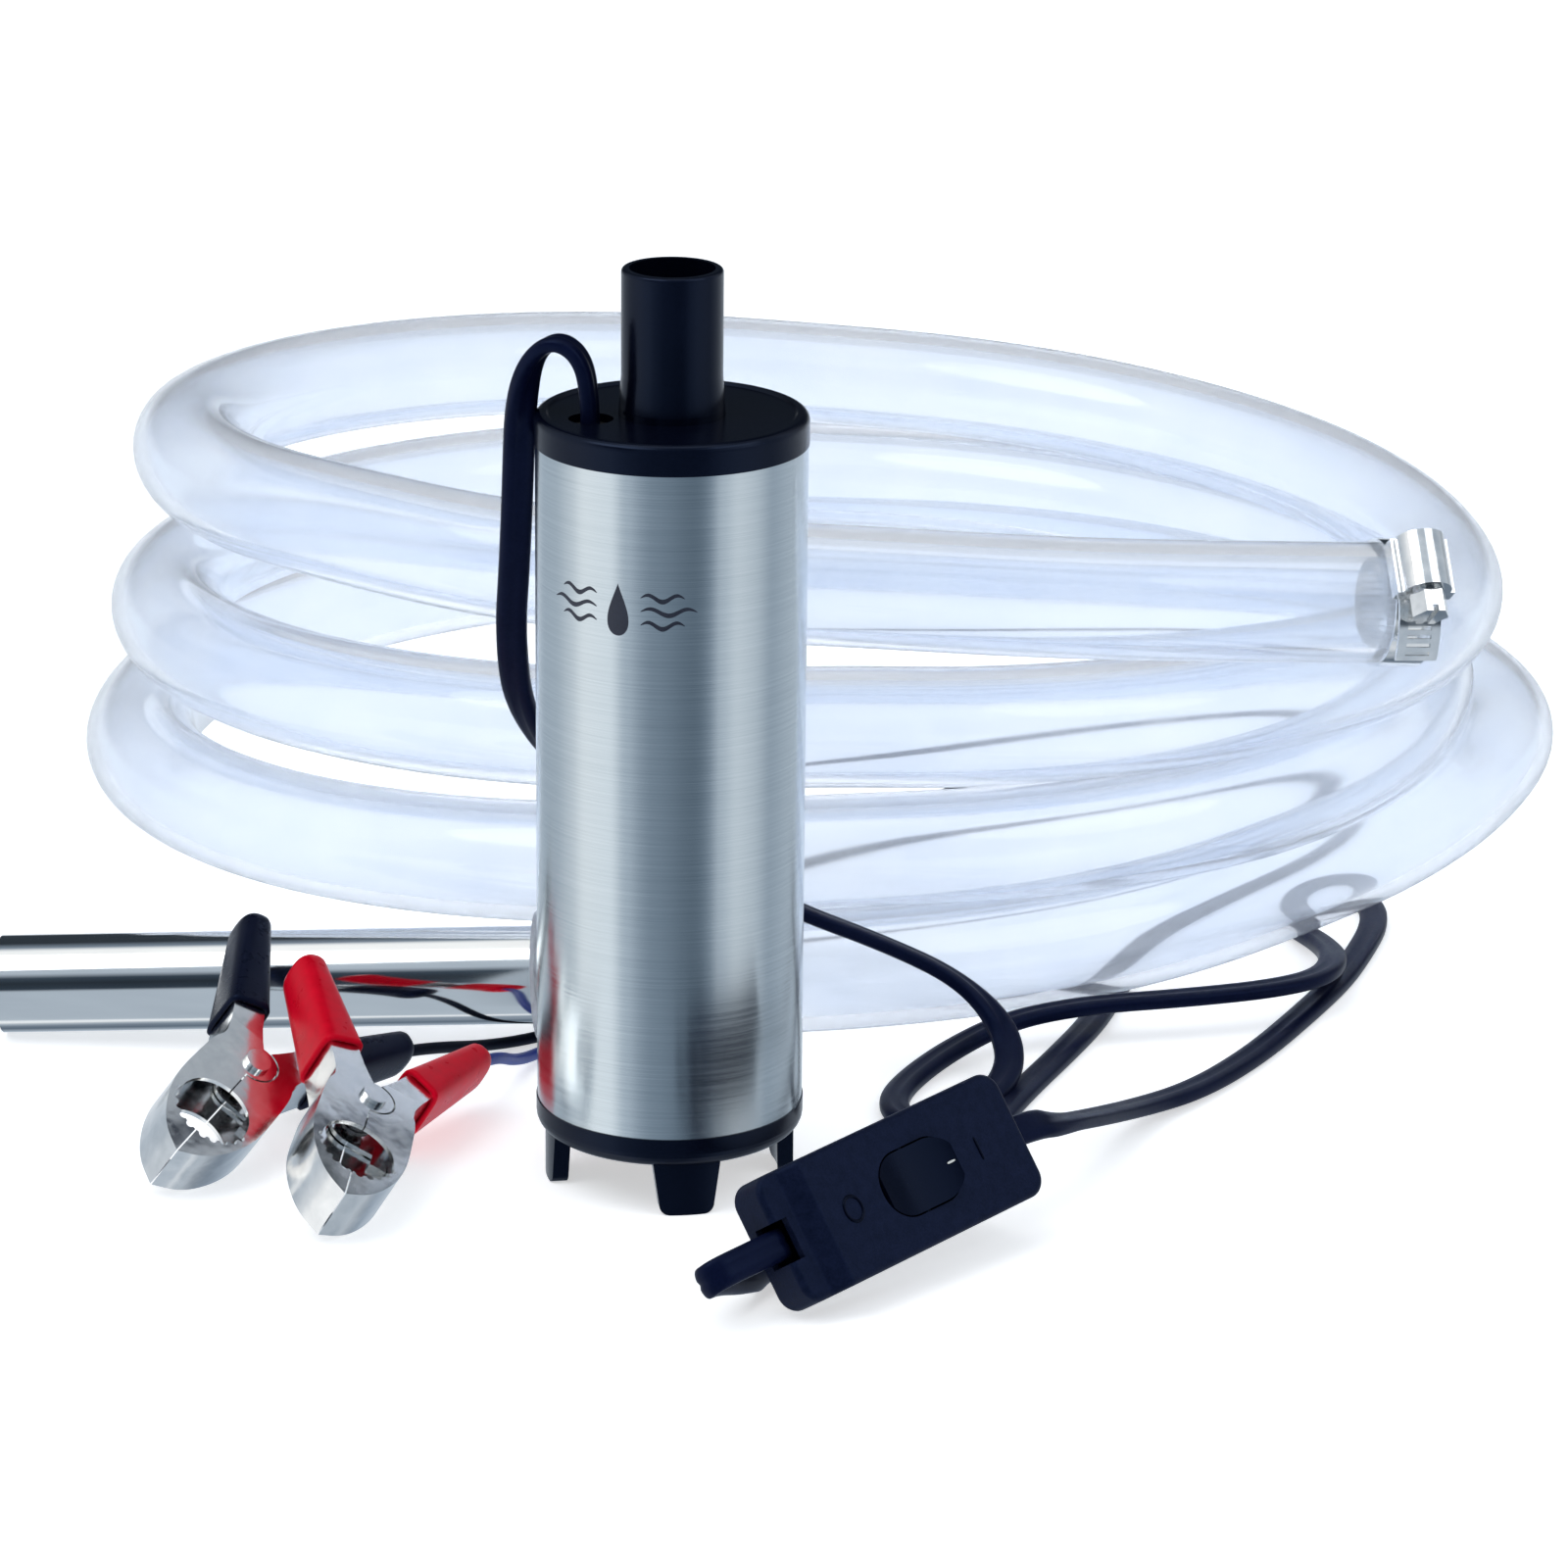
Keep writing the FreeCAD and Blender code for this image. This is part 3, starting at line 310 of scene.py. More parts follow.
coolGloss = {"Specular IOR Level": 0.14, "Specular Tint": (0.30, 0.48, 1.0, 1)}
finishes = {
    # brushing runs round the sleeve, so its noise is squeezed along Z and its glints stretch upright
    "sleeve_steel": {
        "tone": (0.58, 0.64, 0.67), "tone2": (0.68, 0.74, 0.77), "blotch": 26, "grain": 60,
        "stretch": (1, 1, 120), "rough": (0.20, 0.27), "bump": 0.012, "depth": 0.0001, "metal": 1.0,
        "tangent": "Z", "sockets": {"Anisotropic": 0.75, "Anisotropic Rotation": 0.25},
    },
    "nozzle_steel": {
        "tone": (0.70, 0.72, 0.73), "tone2": (0.80, 0.82, 0.82), "blotch": 30, "grain": 260,
        "stretch": (0.12, 1, 1), "rough": (0.06, 0.12), "bump": 0.03, "metal": 1.0,
    },
    "zinc_steel": {
        "tone": (0.76, 0.77, 0.77), "tone2": (0.92, 0.92, 0.91), "blotch": 300, "grain": 190,
        "rough": (0.10, 0.20), "bump": 0.16, "depth": 0.0004, "metal": 1.0,
    },
    "black_plastic": {
        "tone": (0.0010, 0.0016, 0.0055), "tone2": (0.0018, 0.0028, 0.0090), "blotch": 90, "grain": 2200,
        "rough": (0.18, 0.26), "bump": 0.04, "depth": 0.0001,
        "sockets": {"Specular IOR Level": 0.26, "Specular Tint": (0.38, 0.56, 1.0, 1)},
    },
    "switch_plastic": {
        "tone": (0.0030, 0.0052, 0.0170), "tone2": (0.0066, 0.0100, 0.0300), "blotch": 500, "grain": 2600,
        "rough": (0.38, 0.48), "bump": 0.30, "depth": 0.0001, "sockets": coolGloss,
    },
    "rocker_plastic": {
        "tone": (0.0008, 0.0014, 0.0050), "tone2": (0.0014, 0.0022, 0.0080), "blotch": 90, "grain": 1800,
        "rough": (0.18, 0.26), "bump": 0.04, "depth": 0.0001, "sockets": coolGloss,
    },
    "clear_hose": {
        "tone": (0.84, 0.885, 0.960), "tone2": (0.89, 0.925, 0.975), "blotch": 24, "grain": 60,
        "rough": (0.04, 0.10), "bump": 0.012, "depth": 0.001,
        "sockets": {"Transmission Weight": 0.86, "IOR": 1.45},
    },
    "red_vinyl": {
        "tone": (0.64, 0.0003, 0.014), "tone2": (0.76, 0.0006, 0.020), "blotch": 120, "grain": 420,
        "rough": (0.26, 0.36), "bump": 0.04, "depth": 0.0002,
        "sockets": {"Specular IOR Level": 0.16, "Specular Tint": (1.0, 0.35, 0.45, 1)},
    },
    "black_vinyl": {
        "tone": (0.0036, 0.0052, 0.0150), "tone2": (0.0056, 0.0075, 0.0210), "blotch": 120, "grain": 700,
        "rough": (0.24, 0.34), "bump": 0.04, "depth": 0.0002, "sockets": coolGloss,
    },
    "lead_vinyl": {
        "tone": (0.0020, 0.0035, 0.0170), "tone2": (0.0034, 0.0055, 0.0240), "blotch": 140, "grain": 1500,
        "rough": (0.28, 0.38), "bump": 0.08, "depth": 0.0001, "sockets": coolGloss,
    },
    "wire_black_vinyl": {
        "tone": (0.004, 0.005, 0.009), "blotch": 140, "grain": 1500, "rough": (0.28, 0.40), "bump": 0.06,
        "sockets": coolGloss,
    },
    "wire_blue_vinyl": {
        "tone": (0.010, 0.030, 0.22), "blotch": 140, "grain": 1500, "rough": (0.28, 0.40), "bump": 0.06,
    },
    "copper": {
        "tone": (0.72, 0.30, 0.16), "tone2": (0.86, 0.42, 0.24), "blotch": 300, "grain": 2000,
        "stretch": (1, 1, 6), "rough": (0.18, 0.34), "bump": 0.3, "metal": 1.0,
    },
    "brass": {
        "tone": (0.72, 0.52, 0.20), "tone2": (0.84, 0.64, 0.30), "blotch": 200, "grain": 1500,
        "rough": (0.18, 0.32), "bump": 0.08, "metal": 1.0,
    },
    "magnet": {
        "tone": (0.045, 0.045, 0.050), "tone2": (0.075, 0.075, 0.080), "blotch": 300, "grain": 2500,
        "rough": (0.55, 0.75), "bump": 0.3, "metal": 0.0,
    },
    "core_steel": {
        "tone": (0.32, 0.32, 0.33), "tone2": (0.46, 0.46, 0.47), "blotch": 20, "grain": 40,
        "stretch": (1, 1, 60), "rough": (0.30, 0.48), "bump": 0.3, "metal": 1.0,
    },
    "motor_steel": {
        "tone": (0.52, 0.53, 0.54), "tone2": (0.66, 0.67, 0.68), "blotch": 120, "grain": 900,
        "rough": (0.24, 0.40), "bump": 0.08, "metal": 1.0,
    },
    "carbon": {
        "tone": (0.018, 0.018, 0.020), "tone2": (0.040, 0.040, 0.044), "blotch": 500, "grain": 3000,
        "rough": (0.45, 0.62), "bump": 0.2,
    },
    "seal_rubber": {
        "tone": (0.012, 0.012, 0.013), "tone2": (0.022, 0.022, 0.024), "blotch": 200, "grain": 1800,
        "rough": (0.55, 0.72), "bump": 0.15,
    },
    "white_plastic": {
        "tone": (0.62, 0.64, 0.62), "tone2": (0.72, 0.74, 0.72), "blotch": 120, "grain": 1200,
        "rough": (0.35, 0.50), "bump": 0.06,
    },
    "spring_steel": {
        "tone": (0.12, 0.12, 0.13), "tone2": (0.24, 0.24, 0.25), "blotch": 300, "grain": 1500,
        "rough": (0.22, 0.36), "bump": 0.1, "metal": 1.0,
    },
}
materials = {name: makeMaterial(name, spec) for name, spec in finishes.items()}
markPrint = makeMaterial("mark_print", {
    "tone": (0.010, 0.014, 0.030), "tone2": (0.016, 0.022, 0.044), "blotch": 300, "grain": 2000,
    "rough": (0.35, 0.50), "bump": 0.05, "depth": 0.0001,
})


def dress(piece, slotName):
    # gives a new piece the finish of one of the record's slots
    piece.data.materials.clear()
    piece.data.materials.append(materials[slotName])
    return piece


nodeFinish = {
    "sleeve_steel": ["pump_sleeve"],
    "nozzle_steel": ["nozzle_tube"],
    "black_plastic": [
        "top_cap", "outlet_spout", "base_ring", "strainer_plate", "diffuser_plate", "motor_cover",
    ],
    "seal_rubber": ["cord_gland", "shaft_seal", "cap_o_ring", "base_o_ring"],
    "motor_steel": ["motor_can", "motor_shaft"],
    "white_plastic": ["impeller", "motor_end_bell"],
    "core_steel": ["armature_core"],
    "copper": ["armature_windings", "commutator", "switch_bridge"],
    "magnet": ["field_magnets"],
    "carbon": ["carbon_brushes"],
    "brass": ["brush_holders", "shaft_bearings", "switch_contacts"],
    "switch_plastic": ["switch_top_shell", "switch_bottom_shell"],
    "rocker_plastic": ["switch_rocker"],
    "spring_steel": ["switch_spring"],
    "zinc_steel": ["switch_screws"],
}
for clipName in ("free_clip", "nozzle_clip"):
    nodeFinish["zinc_steel"] += [clipName + "_band", clipName + "_housing", clipName + "_screw"]
for clipName in ("clip_black", "clip_red"):
    nodeFinish["zinc_steel"] += [clipName + "_jaw_lower", clipName + "_jaw_upper", clipName + "_rivet"]
for slotName, names in nodeFinish.items():
    for name in names:
        nodes[name].data.materials.clear()
        nodes[name].data.materials.append(materials[slotName])
print("materials made:", len(materials) + 1)


# one length of clear hose, from the nozzle tube through three loose turns to the free end
hose = {
    "outer": 0.0125, "inner": 0.0095,
    "innerClear": 0.00008,                    # keeps the bore off the tube's face
    "swell": 0.0005, "swellLength": 0.020, "swellFade": 0.006,    # over the nozzle tube
    "sides": 40, "steps": 8,
    "centre": (28, 226), "pointsPerTurn": 24,
    "lead": [(-28.4, 64.2, 15.9), (-10, 63, 16.9)],
    # turn, radius and height of the loose turns, from the front and round by the right, in millimetres
    "turns": [
        (0.000, 163, 17.5), (0.0625, 151, 17), (0.125, 144, 17.5), (0.1875, 148, 18.5), (0.25, 160, 19),
        (0.5, 148, 16), (0.75, 155, 17), (0.875, 153, 27), (1.0, 150, 38), (1.25, 138, 36),
        (1.5, 140, 40), (1.75, 149, 48), (1.875, 143, 55), (2.0, 138, 62), (2.25, 145, 55),
        (2.375, 142, 60), (2.5, 138, 66), (2.625, 139, 76), (2.75, 143, 85), (2.875, 138, 92),
        (3.0, 137, 92),
    ],
    "freeEnd": [(75, 90.5, 89.2), (115, 97, 86.8), (152, 107, 84)],
    "length": 2.95,
}


def hoseRoute(spec):
    # a point at each share of a turn: angle = turn x 360 degrees, radius and height by straight steps
    knots = np.array(spec["turns"])
    count = round(knots[-1, 0] * spec["pointsPerTurn"])
    turn = np.linspace(0, knots[-1, 0], count + 1)
    radius = np.interp(turn, knots[:, 0], knots[:, 1])
    height = np.interp(turn, knots[:, 0], knots[:, 2])
    angle = (turn - 0.25) * 2 * math.pi
    x = spec["centre"][0] + radius * np.cos(angle)
    y = spec["centre"][1] + radius * np.sin(angle)
    return inMetres(np.concatenate([spec["lead"], np.column_stack([x, y, height]), spec["freeEnd"]]))


def makeHose(spec):
    # two round walls carried along the line, joined by a flat ring at each end
    points = splinePoints(hoseRoute(spec), spec["steps"])
    _, across, up = levelAxes(points)
    swellEnd = spec["swellLength"] + spec["swellFade"]
    grown = spec["swell"] * (1 - easeBetween(arcLength(points), spec["swellLength"], swellEnd))
    a = np.arange(spec["sides"]) * 2 * math.pi / spec["sides"]
    spoke = np.cos(a)[None, :, None] * across[:, None] + np.sin(a)[None, :, None] * up[:, None]
    outer = points[:, None] + (spec["outer"] + grown)[:, None, None] * spoke
    inner = points[:, None] + (spec["inner"] + grown + spec["innerClear"])[:, None, None] * spoke
    rings = np.concatenate([outer, inner[::-1]])
    faces = gridFaces(len(rings), spec["sides"], closeRows=True)
    piece = newPiece("clearHose", rings.reshape(-1, 3), faces, "pump")
    dress(piece, "clear_hose")
    piece.visible_shadow = False
    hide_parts("hose_start", "hose_coil", "hose_free_end")
    print("hose length", round(arcLength(points)[-1], 3))
    return piece


makeHose(hose)

# where the switch and the two clips lie
switchAxes = localFrame((45.3, -52.9, 19.3), (0.69, 0.721, 0.065), (0.572, -0.598, 0.561))
clipAxes = {
    "clip_black": localFrame((-83.2, 10.4, 13.4), (0.367, 0.915, 0.171), (0.513, -0.352, 0.783)),
    "clip_red": localFrame((-59.2, -8.4, 13.3), (0.088, 0.979, 0.184), (0.5, -0.203, 0.842)),
}
gripAngle = math.radians(28)
gripEnd = 0.042              # rivet to the end of a handle's sleeve
splitLine = -0.007           # height of the seam between the two shells of the switch


def onSeam(x):
    # a place on the switch's middle line, in millimetres
    return toWorld(switchAxes, (x, 0, splitLine)) * 1000


def gripWay(axes, side):
    return math.cos(gripAngle) * axes[1] + side * math.sin(gripAngle) * axes[2]


# flat leads to and from the switch, in millimetres
lead = {
    "width": 0.0060, "thickness": 0.0031, "sides": 32, "steps": 12,
    "groove": 0.00032, "grooveWide": 0.0005,
    "lowered": 0.6,          # a flat lead lies lower than a round one
    "lyingBelow": 12,        # what lies lower than this is on the floor
}
switchIn = onSeam(0.044)
switchSeat = onSeam(0.028)
switchOut = onSeam(-0.038)
switchRest = onSeam(-0.028)
pumpLeadRoute = [
    (-14.9, -4.8, 124.0), (-14.9, -4.8, 138.0),
    (-15.0, -4.8, 155.5), (-16.6, -4.5, 163.0), (-21.5, -3.3, 165.9), (-26.2, -1.0, 161.6),
    (-28.3, 2.0, 151.5), (-29.0, 7.0, 137), (-30.0, 14, 119), (-31.5, 23, 100), (-30.0, 33, 81),
    (-19, 41, 64), (0, 44.5, 50), (22, 45, 38), (42, 53, 27.5), (57, 56.5, 19),
    (66, 53, 11.5), (68, 42.5, 5.8), (62, 30, 3.2), (53.5, 21.5, 2.3), (45.8, 22.0, 2.2),
    (43.3, 31, 2.3), (47, 43, 2.6), (56, 57, 4), (68, 66.5, 6.8), (84, 71, 8.6),
    (104, 74.5, 9.0), (123, 80, 9.2), (134, 89, 8.6), (138, 103, 7.6), (136, 119, 5.4),
    (131.5, 136, 2.8), (132.5, 150, 2.2), (138.5, 159.5, 2.3), (146.3, 159.5, 2.2), (150.3, 151, 2.3),
    (149.5, 138, 2.2), (145, 122, 2.3), (139, 104, 2.2), (130, 84, 2.3), (118, 60, 2.2),
    (105, 39.5, 2.6), (92, 24, 4.5),
    switchIn + (3.0, 3.5, -3.0), switchIn - switchAxes[1] * 4, switchSeat,
]
foldedLead = 1000 * toWorld(switchAxes, [
    (-0.0445, 0, -0.0073), (-0.0454, 0, -0.0108), (-0.0410, 0, -0.0128),
])
batteryLeadRoute = [
    switchRest, switchOut, *foldedLead, (14, -66, 5.8), (20, -57, 3.2), (27, -46, 2.2), (36, -28, 2.3),
    (50, -7, 2.2), (62, 17, 2.3), (70, 39, 2.2), (78, 58, 2.2),
    (86, 78, 2.3), (91, 98, 2.2), (101, 128, 2.3), (118, 157, 2.2), (137, 184, 2.3),
    (148, 213, 2.2), (149, 243, 2.3), (134, 268, 2.2), (108, 270, 2.3), (82, 252, 2.2),
    (60, 225, 2.3), (41, 195, 2.2), (24, 165, 2.3), (10, 138, 2.2), (0, 114, 2.2),
]


def flatSection(spec):
    # across = half width x cos^0.8, up = half thickness x sin^0.6, less a groove down each face
    a = np.arange(spec["sides"]) * 2 * math.pi / spec["sides"]
    across = spec["width"] / 2 * np.sign(np.cos(a)) * np.abs(np.cos(a)) ** 0.8
    up = spec["thickness"] / 2 * np.sign(np.sin(a)) * np.abs(np.sin(a)) ** 0.6
    up -= np.sign(up) * spec["groove"] * np.exp(-((across / spec["grooveWide"]) ** 2))
    return np.column_stack([across, up])


def makeFlatLead(name, route, node, startWide=None, endWide=None, holdLength=0.006, blendLength=0.03):
    route = np.array([np.asarray(p, float) for p in route])
    route[:, 2] -= lead["lowered"] * (route[:, 2] < lead["lyingBelow"])
    points = splinePoints(inMetres(route), lead["steps"])
    axes = levelAxes(points, startWide, endWide, holdLength, blendLength)
    verts, faces = sweptSolid(points, flatSection(lead), axes)
    piece = dress(newPiece(name, verts, faces, "pump"), "lead_vinyl")
    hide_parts(node)
    print(name, "length", round(arcLength(points)[-1], 3))
    return piece, points


pumpLead, pumpLeadLine = makeFlatLead("pumpLead", pumpLeadRoute, "pump_lead",
                                      startWide=(0.85, 0.53, 0), endWide=switchAxes[2])

batteryLead, batteryLeadLine = makeFlatLead("batteryLead", batteryLeadRoute, "battery_lead",
                                            startWide=switchAxes[2], holdLength=0.030, blendLength=0.058)

# the two wires that the battery lead divides into, in millimetres
wire = {"radius": 0.0012, "sides": 16, "steps": 12, "gap": 0.02}
split = np.array(batteryLeadRoute[-1], float)
splitWay = unit(split - np.array(batteryLeadRoute[-2], float))
splitSide = np.array((-splitWay[1], splitWay[0], 0)) * (wire["radius"] * 1000 + wire["gap"])
blackWay = gripWay(clipAxes["clip_black"], -1)
redWay = gripWay(clipAxes["clip_red"], -1)
blackEnd = (clipAxes["clip_black"][0] + blackWay * gripEnd) * 1000
redEnd = (clipAxes["clip_red"][0] + redWay * gripEnd) * 1000
wireRoutes = {
    "wireBlack": [
        split - splitSide, split - splitSide + splitWay * 9, (-9.5, 89, 1.3),
        (-15.5, 78, 1.35), (-24.5, 69.5, 1.3), (-37, 61, 1.6),
        blackEnd + blackWay * 7, blackEnd,
    ],
    "wireBlue": [
        split + splitSide, split + splitSide + splitWay * 9, (-4.5, 89, 1.3),
        (-9.5, 78, 1.35), (-17.5, 69, 1.3), (-25.5, 61, 1.35), (-31.5, 50, 2.5),
        redEnd + redWay * 7, redEnd,
    ],
}


def makeWire(name, node, slotName):
    points = splinePoints(inMetres([np.asarray(p, float) for p in wireRoutes[name]]), wire["steps"])
    verts, faces = sweptSolid(points, roundSection(wire["radius"], wire["sides"]), levelAxes(points))
    piece = dress(newPiece(name, verts, faces, "pump"), slotName)
    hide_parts(node)
    print(name, "length", round(arcLength(points)[-1], 3))
    return piece, points


wireBlack, wireBlackLine = makeWire("wireBlack", "wire_black", "wire_black_vinyl")
wireBlue, wireBlueLine = makeWire("wireBlue", "wire_blue", "wire_blue_vinyl")

# moulded sleeve where the battery lead divides
divider = {
    "length": 0.016, "width": 0.0078, "thickness": 0.0048, "rings": 13, "sides": 28,
    "onLead": 0.55,          # share of its length that is on the lead
    "blunt": 8, "taper": 0.18, "leastShare": 0.02,
}


def makeDivider(spec):
    # an oval sleeve: each ring's share = root of (1 - |2t - 1|^8), less a taper towards the wires
    t = np.linspace(0, 1, spec["rings"])
    start = split / 1000 - splitWay * spec["length"] * spec["onLead"]
    points = start + t[:, None] * splitWay * spec["length"]
    points[:, 2] = spec["thickness"] / 2
    bulge = np.clip(1 - np.abs(2 * t - 1) ** spec["blunt"], spec["leastShare"], 1)
    shares = np.sqrt(bulge) * (1 - spec["taper"] * t)
    section = roundSection(1.0, spec["sides"]) * (spec["width"] / 2, spec["thickness"] / 2)
    verts, faces = sweptSolid(points, section, levelAxes(points), shares)
    return dress(newPiece("leadDivider", verts, faces, "pump"), "lead_vinyl")


dividerPiece = makeDivider(divider)

# soft sleeves on the clip handles
handleSleeve = {
    "start": 0.0145, "stop": 0.0428, "wall": 0.0011, "lining": 0.0001, "lip": 0.0003,
    "round": 0.0034, "roundPower": 2.4, "leastShare": 0.02,
    "sides": 48, "rings": 30, "mouthDepth": 0.003,
    "highStart": 0.0052, "lowStart": -0.0016, "endHalf": 0.0022,
    "halfWidthStart": 0.0054, "halfWidthEnd": 0.0042, "squareMouth": 6.0, "squareEnd": 2.5,
}


def sleeveRing(spec, x, grow, share):
    # superellipse about the handle's middle: heights and width run straight from mouth to end, and the
    # corners grow rounder with the root of the way along
    t = (x - spec["start"]) / (spec["stop"] - spec["start"])
    high = spec["highStart"] + (spec["endHalf"] - spec["highStart"]) * t + grow
    low = spec["lowStart"] + (-spec["endHalf"] - spec["lowStart"]) * t - grow
    wide = spec["halfWidthStart"] + (spec["halfWidthEnd"] - spec["halfWidthStart"]) * t + grow
    a = np.arange(spec["sides"]) * 2 * math.pi / spec["sides"]
    square = spec["squareMouth"] + (spec["squareEnd"] - spec["squareMouth"]) * math.sqrt(max(t, 0.0))
    power = 2 / square
    upward = np.sign(np.cos(a)) * np.abs(np.cos(a)) ** power
    sideways = np.sign(np.sin(a)) * np.abs(np.sin(a)) ** power
    level = (high + low) / 2 + upward * (high - low) / 2 * share
    return np.column_stack([np.full(len(a), x), level, sideways * wide * share])


def makeHandleSleeve(clip, part, side, slotName):
    # rings out of the mouth, over its lip and along to the rounded end, turned to the handle's own angle
    spec = handleSleeve
    start = spec["start"]
    rings = [
        sleeveRing(spec, start + spec["mouthDepth"], spec["lining"], 1),
        sleeveRing(spec, start + spec["lip"], spec["lining"], 1),
        sleeveRing(spec, start, spec["wall"] / 2, 1),
    ]
    for x in start + (spec["stop"] - start) * np.linspace(0.01, 1, spec["rings"]):
        past = max(0.0, (x - (spec["stop"] - spec["round"])) / spec["round"])
        share = math.sqrt(max(spec["leastShare"] ** 2, 1 - past ** spec["roundPower"]))
        rings.append(sleeveRing(spec, x, spec["wall"], share))
    local = np.array(rings)
    handle = np.stack([local[..., 0] * math.cos(gripAngle) - local[..., 1] * math.sin(gripAngle),
                       (local[..., 0] * math.sin(gripAngle) + local[..., 1] * math.cos(gripAngle)) * side,
                       local[..., 2]], -1)
    verts = toWorld(clipAxes[clip], handle).reshape(-1, 3)
    faces = closedFaces(len(local), spec["sides"])
    if side < 0:
        faces = [face[::-1] for face in faces]
    body = clip.replace("clip_", "") + "_clip_arm" if part == "upper" else "pump"
    piece = dress(newPiece(clip + "_grip_" + part, verts, faces, body), slotName)
    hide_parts(f"{clip}_sleeve_{part}")
    return piece


clipSprings = {
    "radius": 0.0027, "wire": 0.0005, "turns": 4.6, "pitch": 0.00112, "pointsPerTurn": 28, "sides": 12,
    "legStart": 0.0008, "leg": 0.009, "legPoints": 8,
}


def makeClipSpring(clip, spec):
    # a helix about the rivet, radius x (cos, sin) and rising along it, with a straight leg at its end
    r = spec["radius"]
    angle = np.linspace(0, spec["turns"] * 2 * math.pi, round(spec["turns"] * spec["pointsPerTurn"]))
    begin = -gripAngle - math.pi / 2 - angle[-1]
    height = (angle / (2 * math.pi) - spec["turns"] / 2) * spec["pitch"]
    coil = np.column_stack([r * np.cos(begin + angle), r * np.sin(begin + angle), height])
    along = np.array((math.cos(gripAngle), -math.sin(gripAngle), 0))
    leg = coil[-1] + np.linspace(spec["legStart"], spec["leg"], spec["legPoints"])[:, None] * along
    points = toWorld(clipAxes[clip], np.concatenate([coil, leg]))
    verts, faces = sweptSolid(points, roundSection(spec["wire"], spec["sides"]), helixAxes(clip, points))
    piece = dress(newPiece(clip + "_coil_spring", verts, faces, "pump"), "spring_steel")
    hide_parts(clip + "_spring")
    return piece


def helixAxes(clip, points):
    # across is the rivet's direction, cleared of the wire's own
    along = tangents(points)
    across = np.broadcast_to(clipAxes[clip][3], along.shape)
    across = unit(across - along * np.sum(across * along, 1, keepdims=True))
    return along, across, np.cross(along, across)


for clip, slotName in (("clip_black", "black_vinyl"), ("clip_red", "red_vinyl")):
    makeHandleSleeve(clip, "upper", 1, slotName)
    makeHandleSleeve(clip, "lower", -1, slotName)
    makeClipSpring(clip, clipSprings)

print("leads, wires and clips made")

# a ring for off, a bar for on, and a tick on the rocker
marks = {
    "offX": -0.0150, "ring": 0.0021, "ringStretch": 1.15, "ringStroke": 0.00028, "ringHeight": 0.0003,
    "ringPoints": 48, "barPoints": 17, "strokePoints": 12, "blunt": 6, "leastShare": 0.02,
    "on": {"centre": (0.0190, 0, 0), "halfLong": 0.0024, "halfWide": 0.0003, "height": 0.0003,
           "turn": math.pi / 2},
    "tick": {"centre": (0.0073, 0, 0.00428), "halfLong": 0.0011, "halfWide": 0.00022, "height": 0.00018,
             "turn": 0.0},
    "rockerPivot": (0.003, 0, -0.003), "rockerTilt": math.radians(-9),
}


def makeRingMark(spec):
    # a low round-topped ring lying on the shell: radius = ring + stroke x cos, rise = height x sin
    rows = spec["ringPoints"]
    columns = spec["strokePoints"]
    a = np.arange(rows)[:, None] * 2 * math.pi / rows
    b = np.arange(columns)[None, :] * 2 * math.pi / columns
    r = spec["ring"] + spec["ringStroke"] * np.cos(b)
    rise = np.broadcast_to(spec["ringHeight"] * np.sin(b), (rows, columns))
    local = np.stack([spec["offX"] + r * np.cos(a), r * np.sin(a) * spec["ringStretch"], rise], -1)
    faces = [face[::-1] for face in gridFaces(rows, columns, closeRows=True)]
    verts = toWorld(switchAxes, local).reshape(-1, 3)
    return dress(newPiece("switchOffMark", verts, faces, "pump"), "rocker_plastic")


def makeBarMark(name, axes, bar, body, slotName):
    # a low bar: side = half width x cos and rise = height x sin, both pinched in at its two ends
    rows = marks["barPoints"]
    columns = marks["strokePoints"]
    t = np.linspace(-1, 1, rows)[:, None]
    b = np.arange(columns)[None, :] * 2 * math.pi / columns
    pinch = np.sqrt(np.clip(1 - np.abs(t) ** marks["blunt"], marks["leastShare"], 1))
    side = bar["halfWide"] * np.cos(b) * pinch
    rise = bar["height"] * np.sin(b) * pinch
    run = t * bar["halfLong"]
    centre = bar["centre"]
    x = centre[0] + run * math.cos(bar["turn"]) - side * math.sin(bar["turn"])
    y = centre[1] + run * math.sin(bar["turn"]) + side * math.cos(bar["turn"])
    verts = toWorld(axes, np.stack([x, y, centre[2] + rise], -1)).reshape(-1, 3)
    return dress(newPiece(name, verts, closedFaces(rows, columns), body), slotName)


makeRingMark(marks)
makeBarMark("switchOnMark", switchAxes, marks["on"], "pump", "rocker_plastic")
tilt = marks["rockerTilt"]
rockerX = switchAxes[1] * math.cos(tilt) - switchAxes[3] * math.sin(tilt)
rockerZ = switchAxes[3] * math.cos(tilt) + switchAxes[1] * math.sin(tilt)
rockerAxes = (toWorld(switchAxes, marks["rockerPivot"]), rockerX, switchAxes[2], rockerZ)
makeBarMark("rockerTick", rockerAxes, marks["tick"], "rocker", "white_plastic")

# a droplet between small waves, printed on the sleeve
emblem = {
    "azimuth": math.radians(-21.5), "height": 0.1200, "lift": 0.00004,
    "dropHalf": 0.0030, "dropTall": 0.0050, "dropRows": 26, "dropColumns": 9, "dropTip": 0.02,
    "waveLong": 0.0105, "waveRise": 0.0006, "waveGap": 0.0014, "waveStep": 0.0026, "waveShorter": 0.22,
    "waves": 1.5, "wavePoints": 80, "stroke": 0.00045, "strokeLeast": 0.02,
}
sleeveLow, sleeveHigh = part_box("pump_sleeve")
sleeveRadius = (sleeveHigh.x - sleeveLow.x) / 2


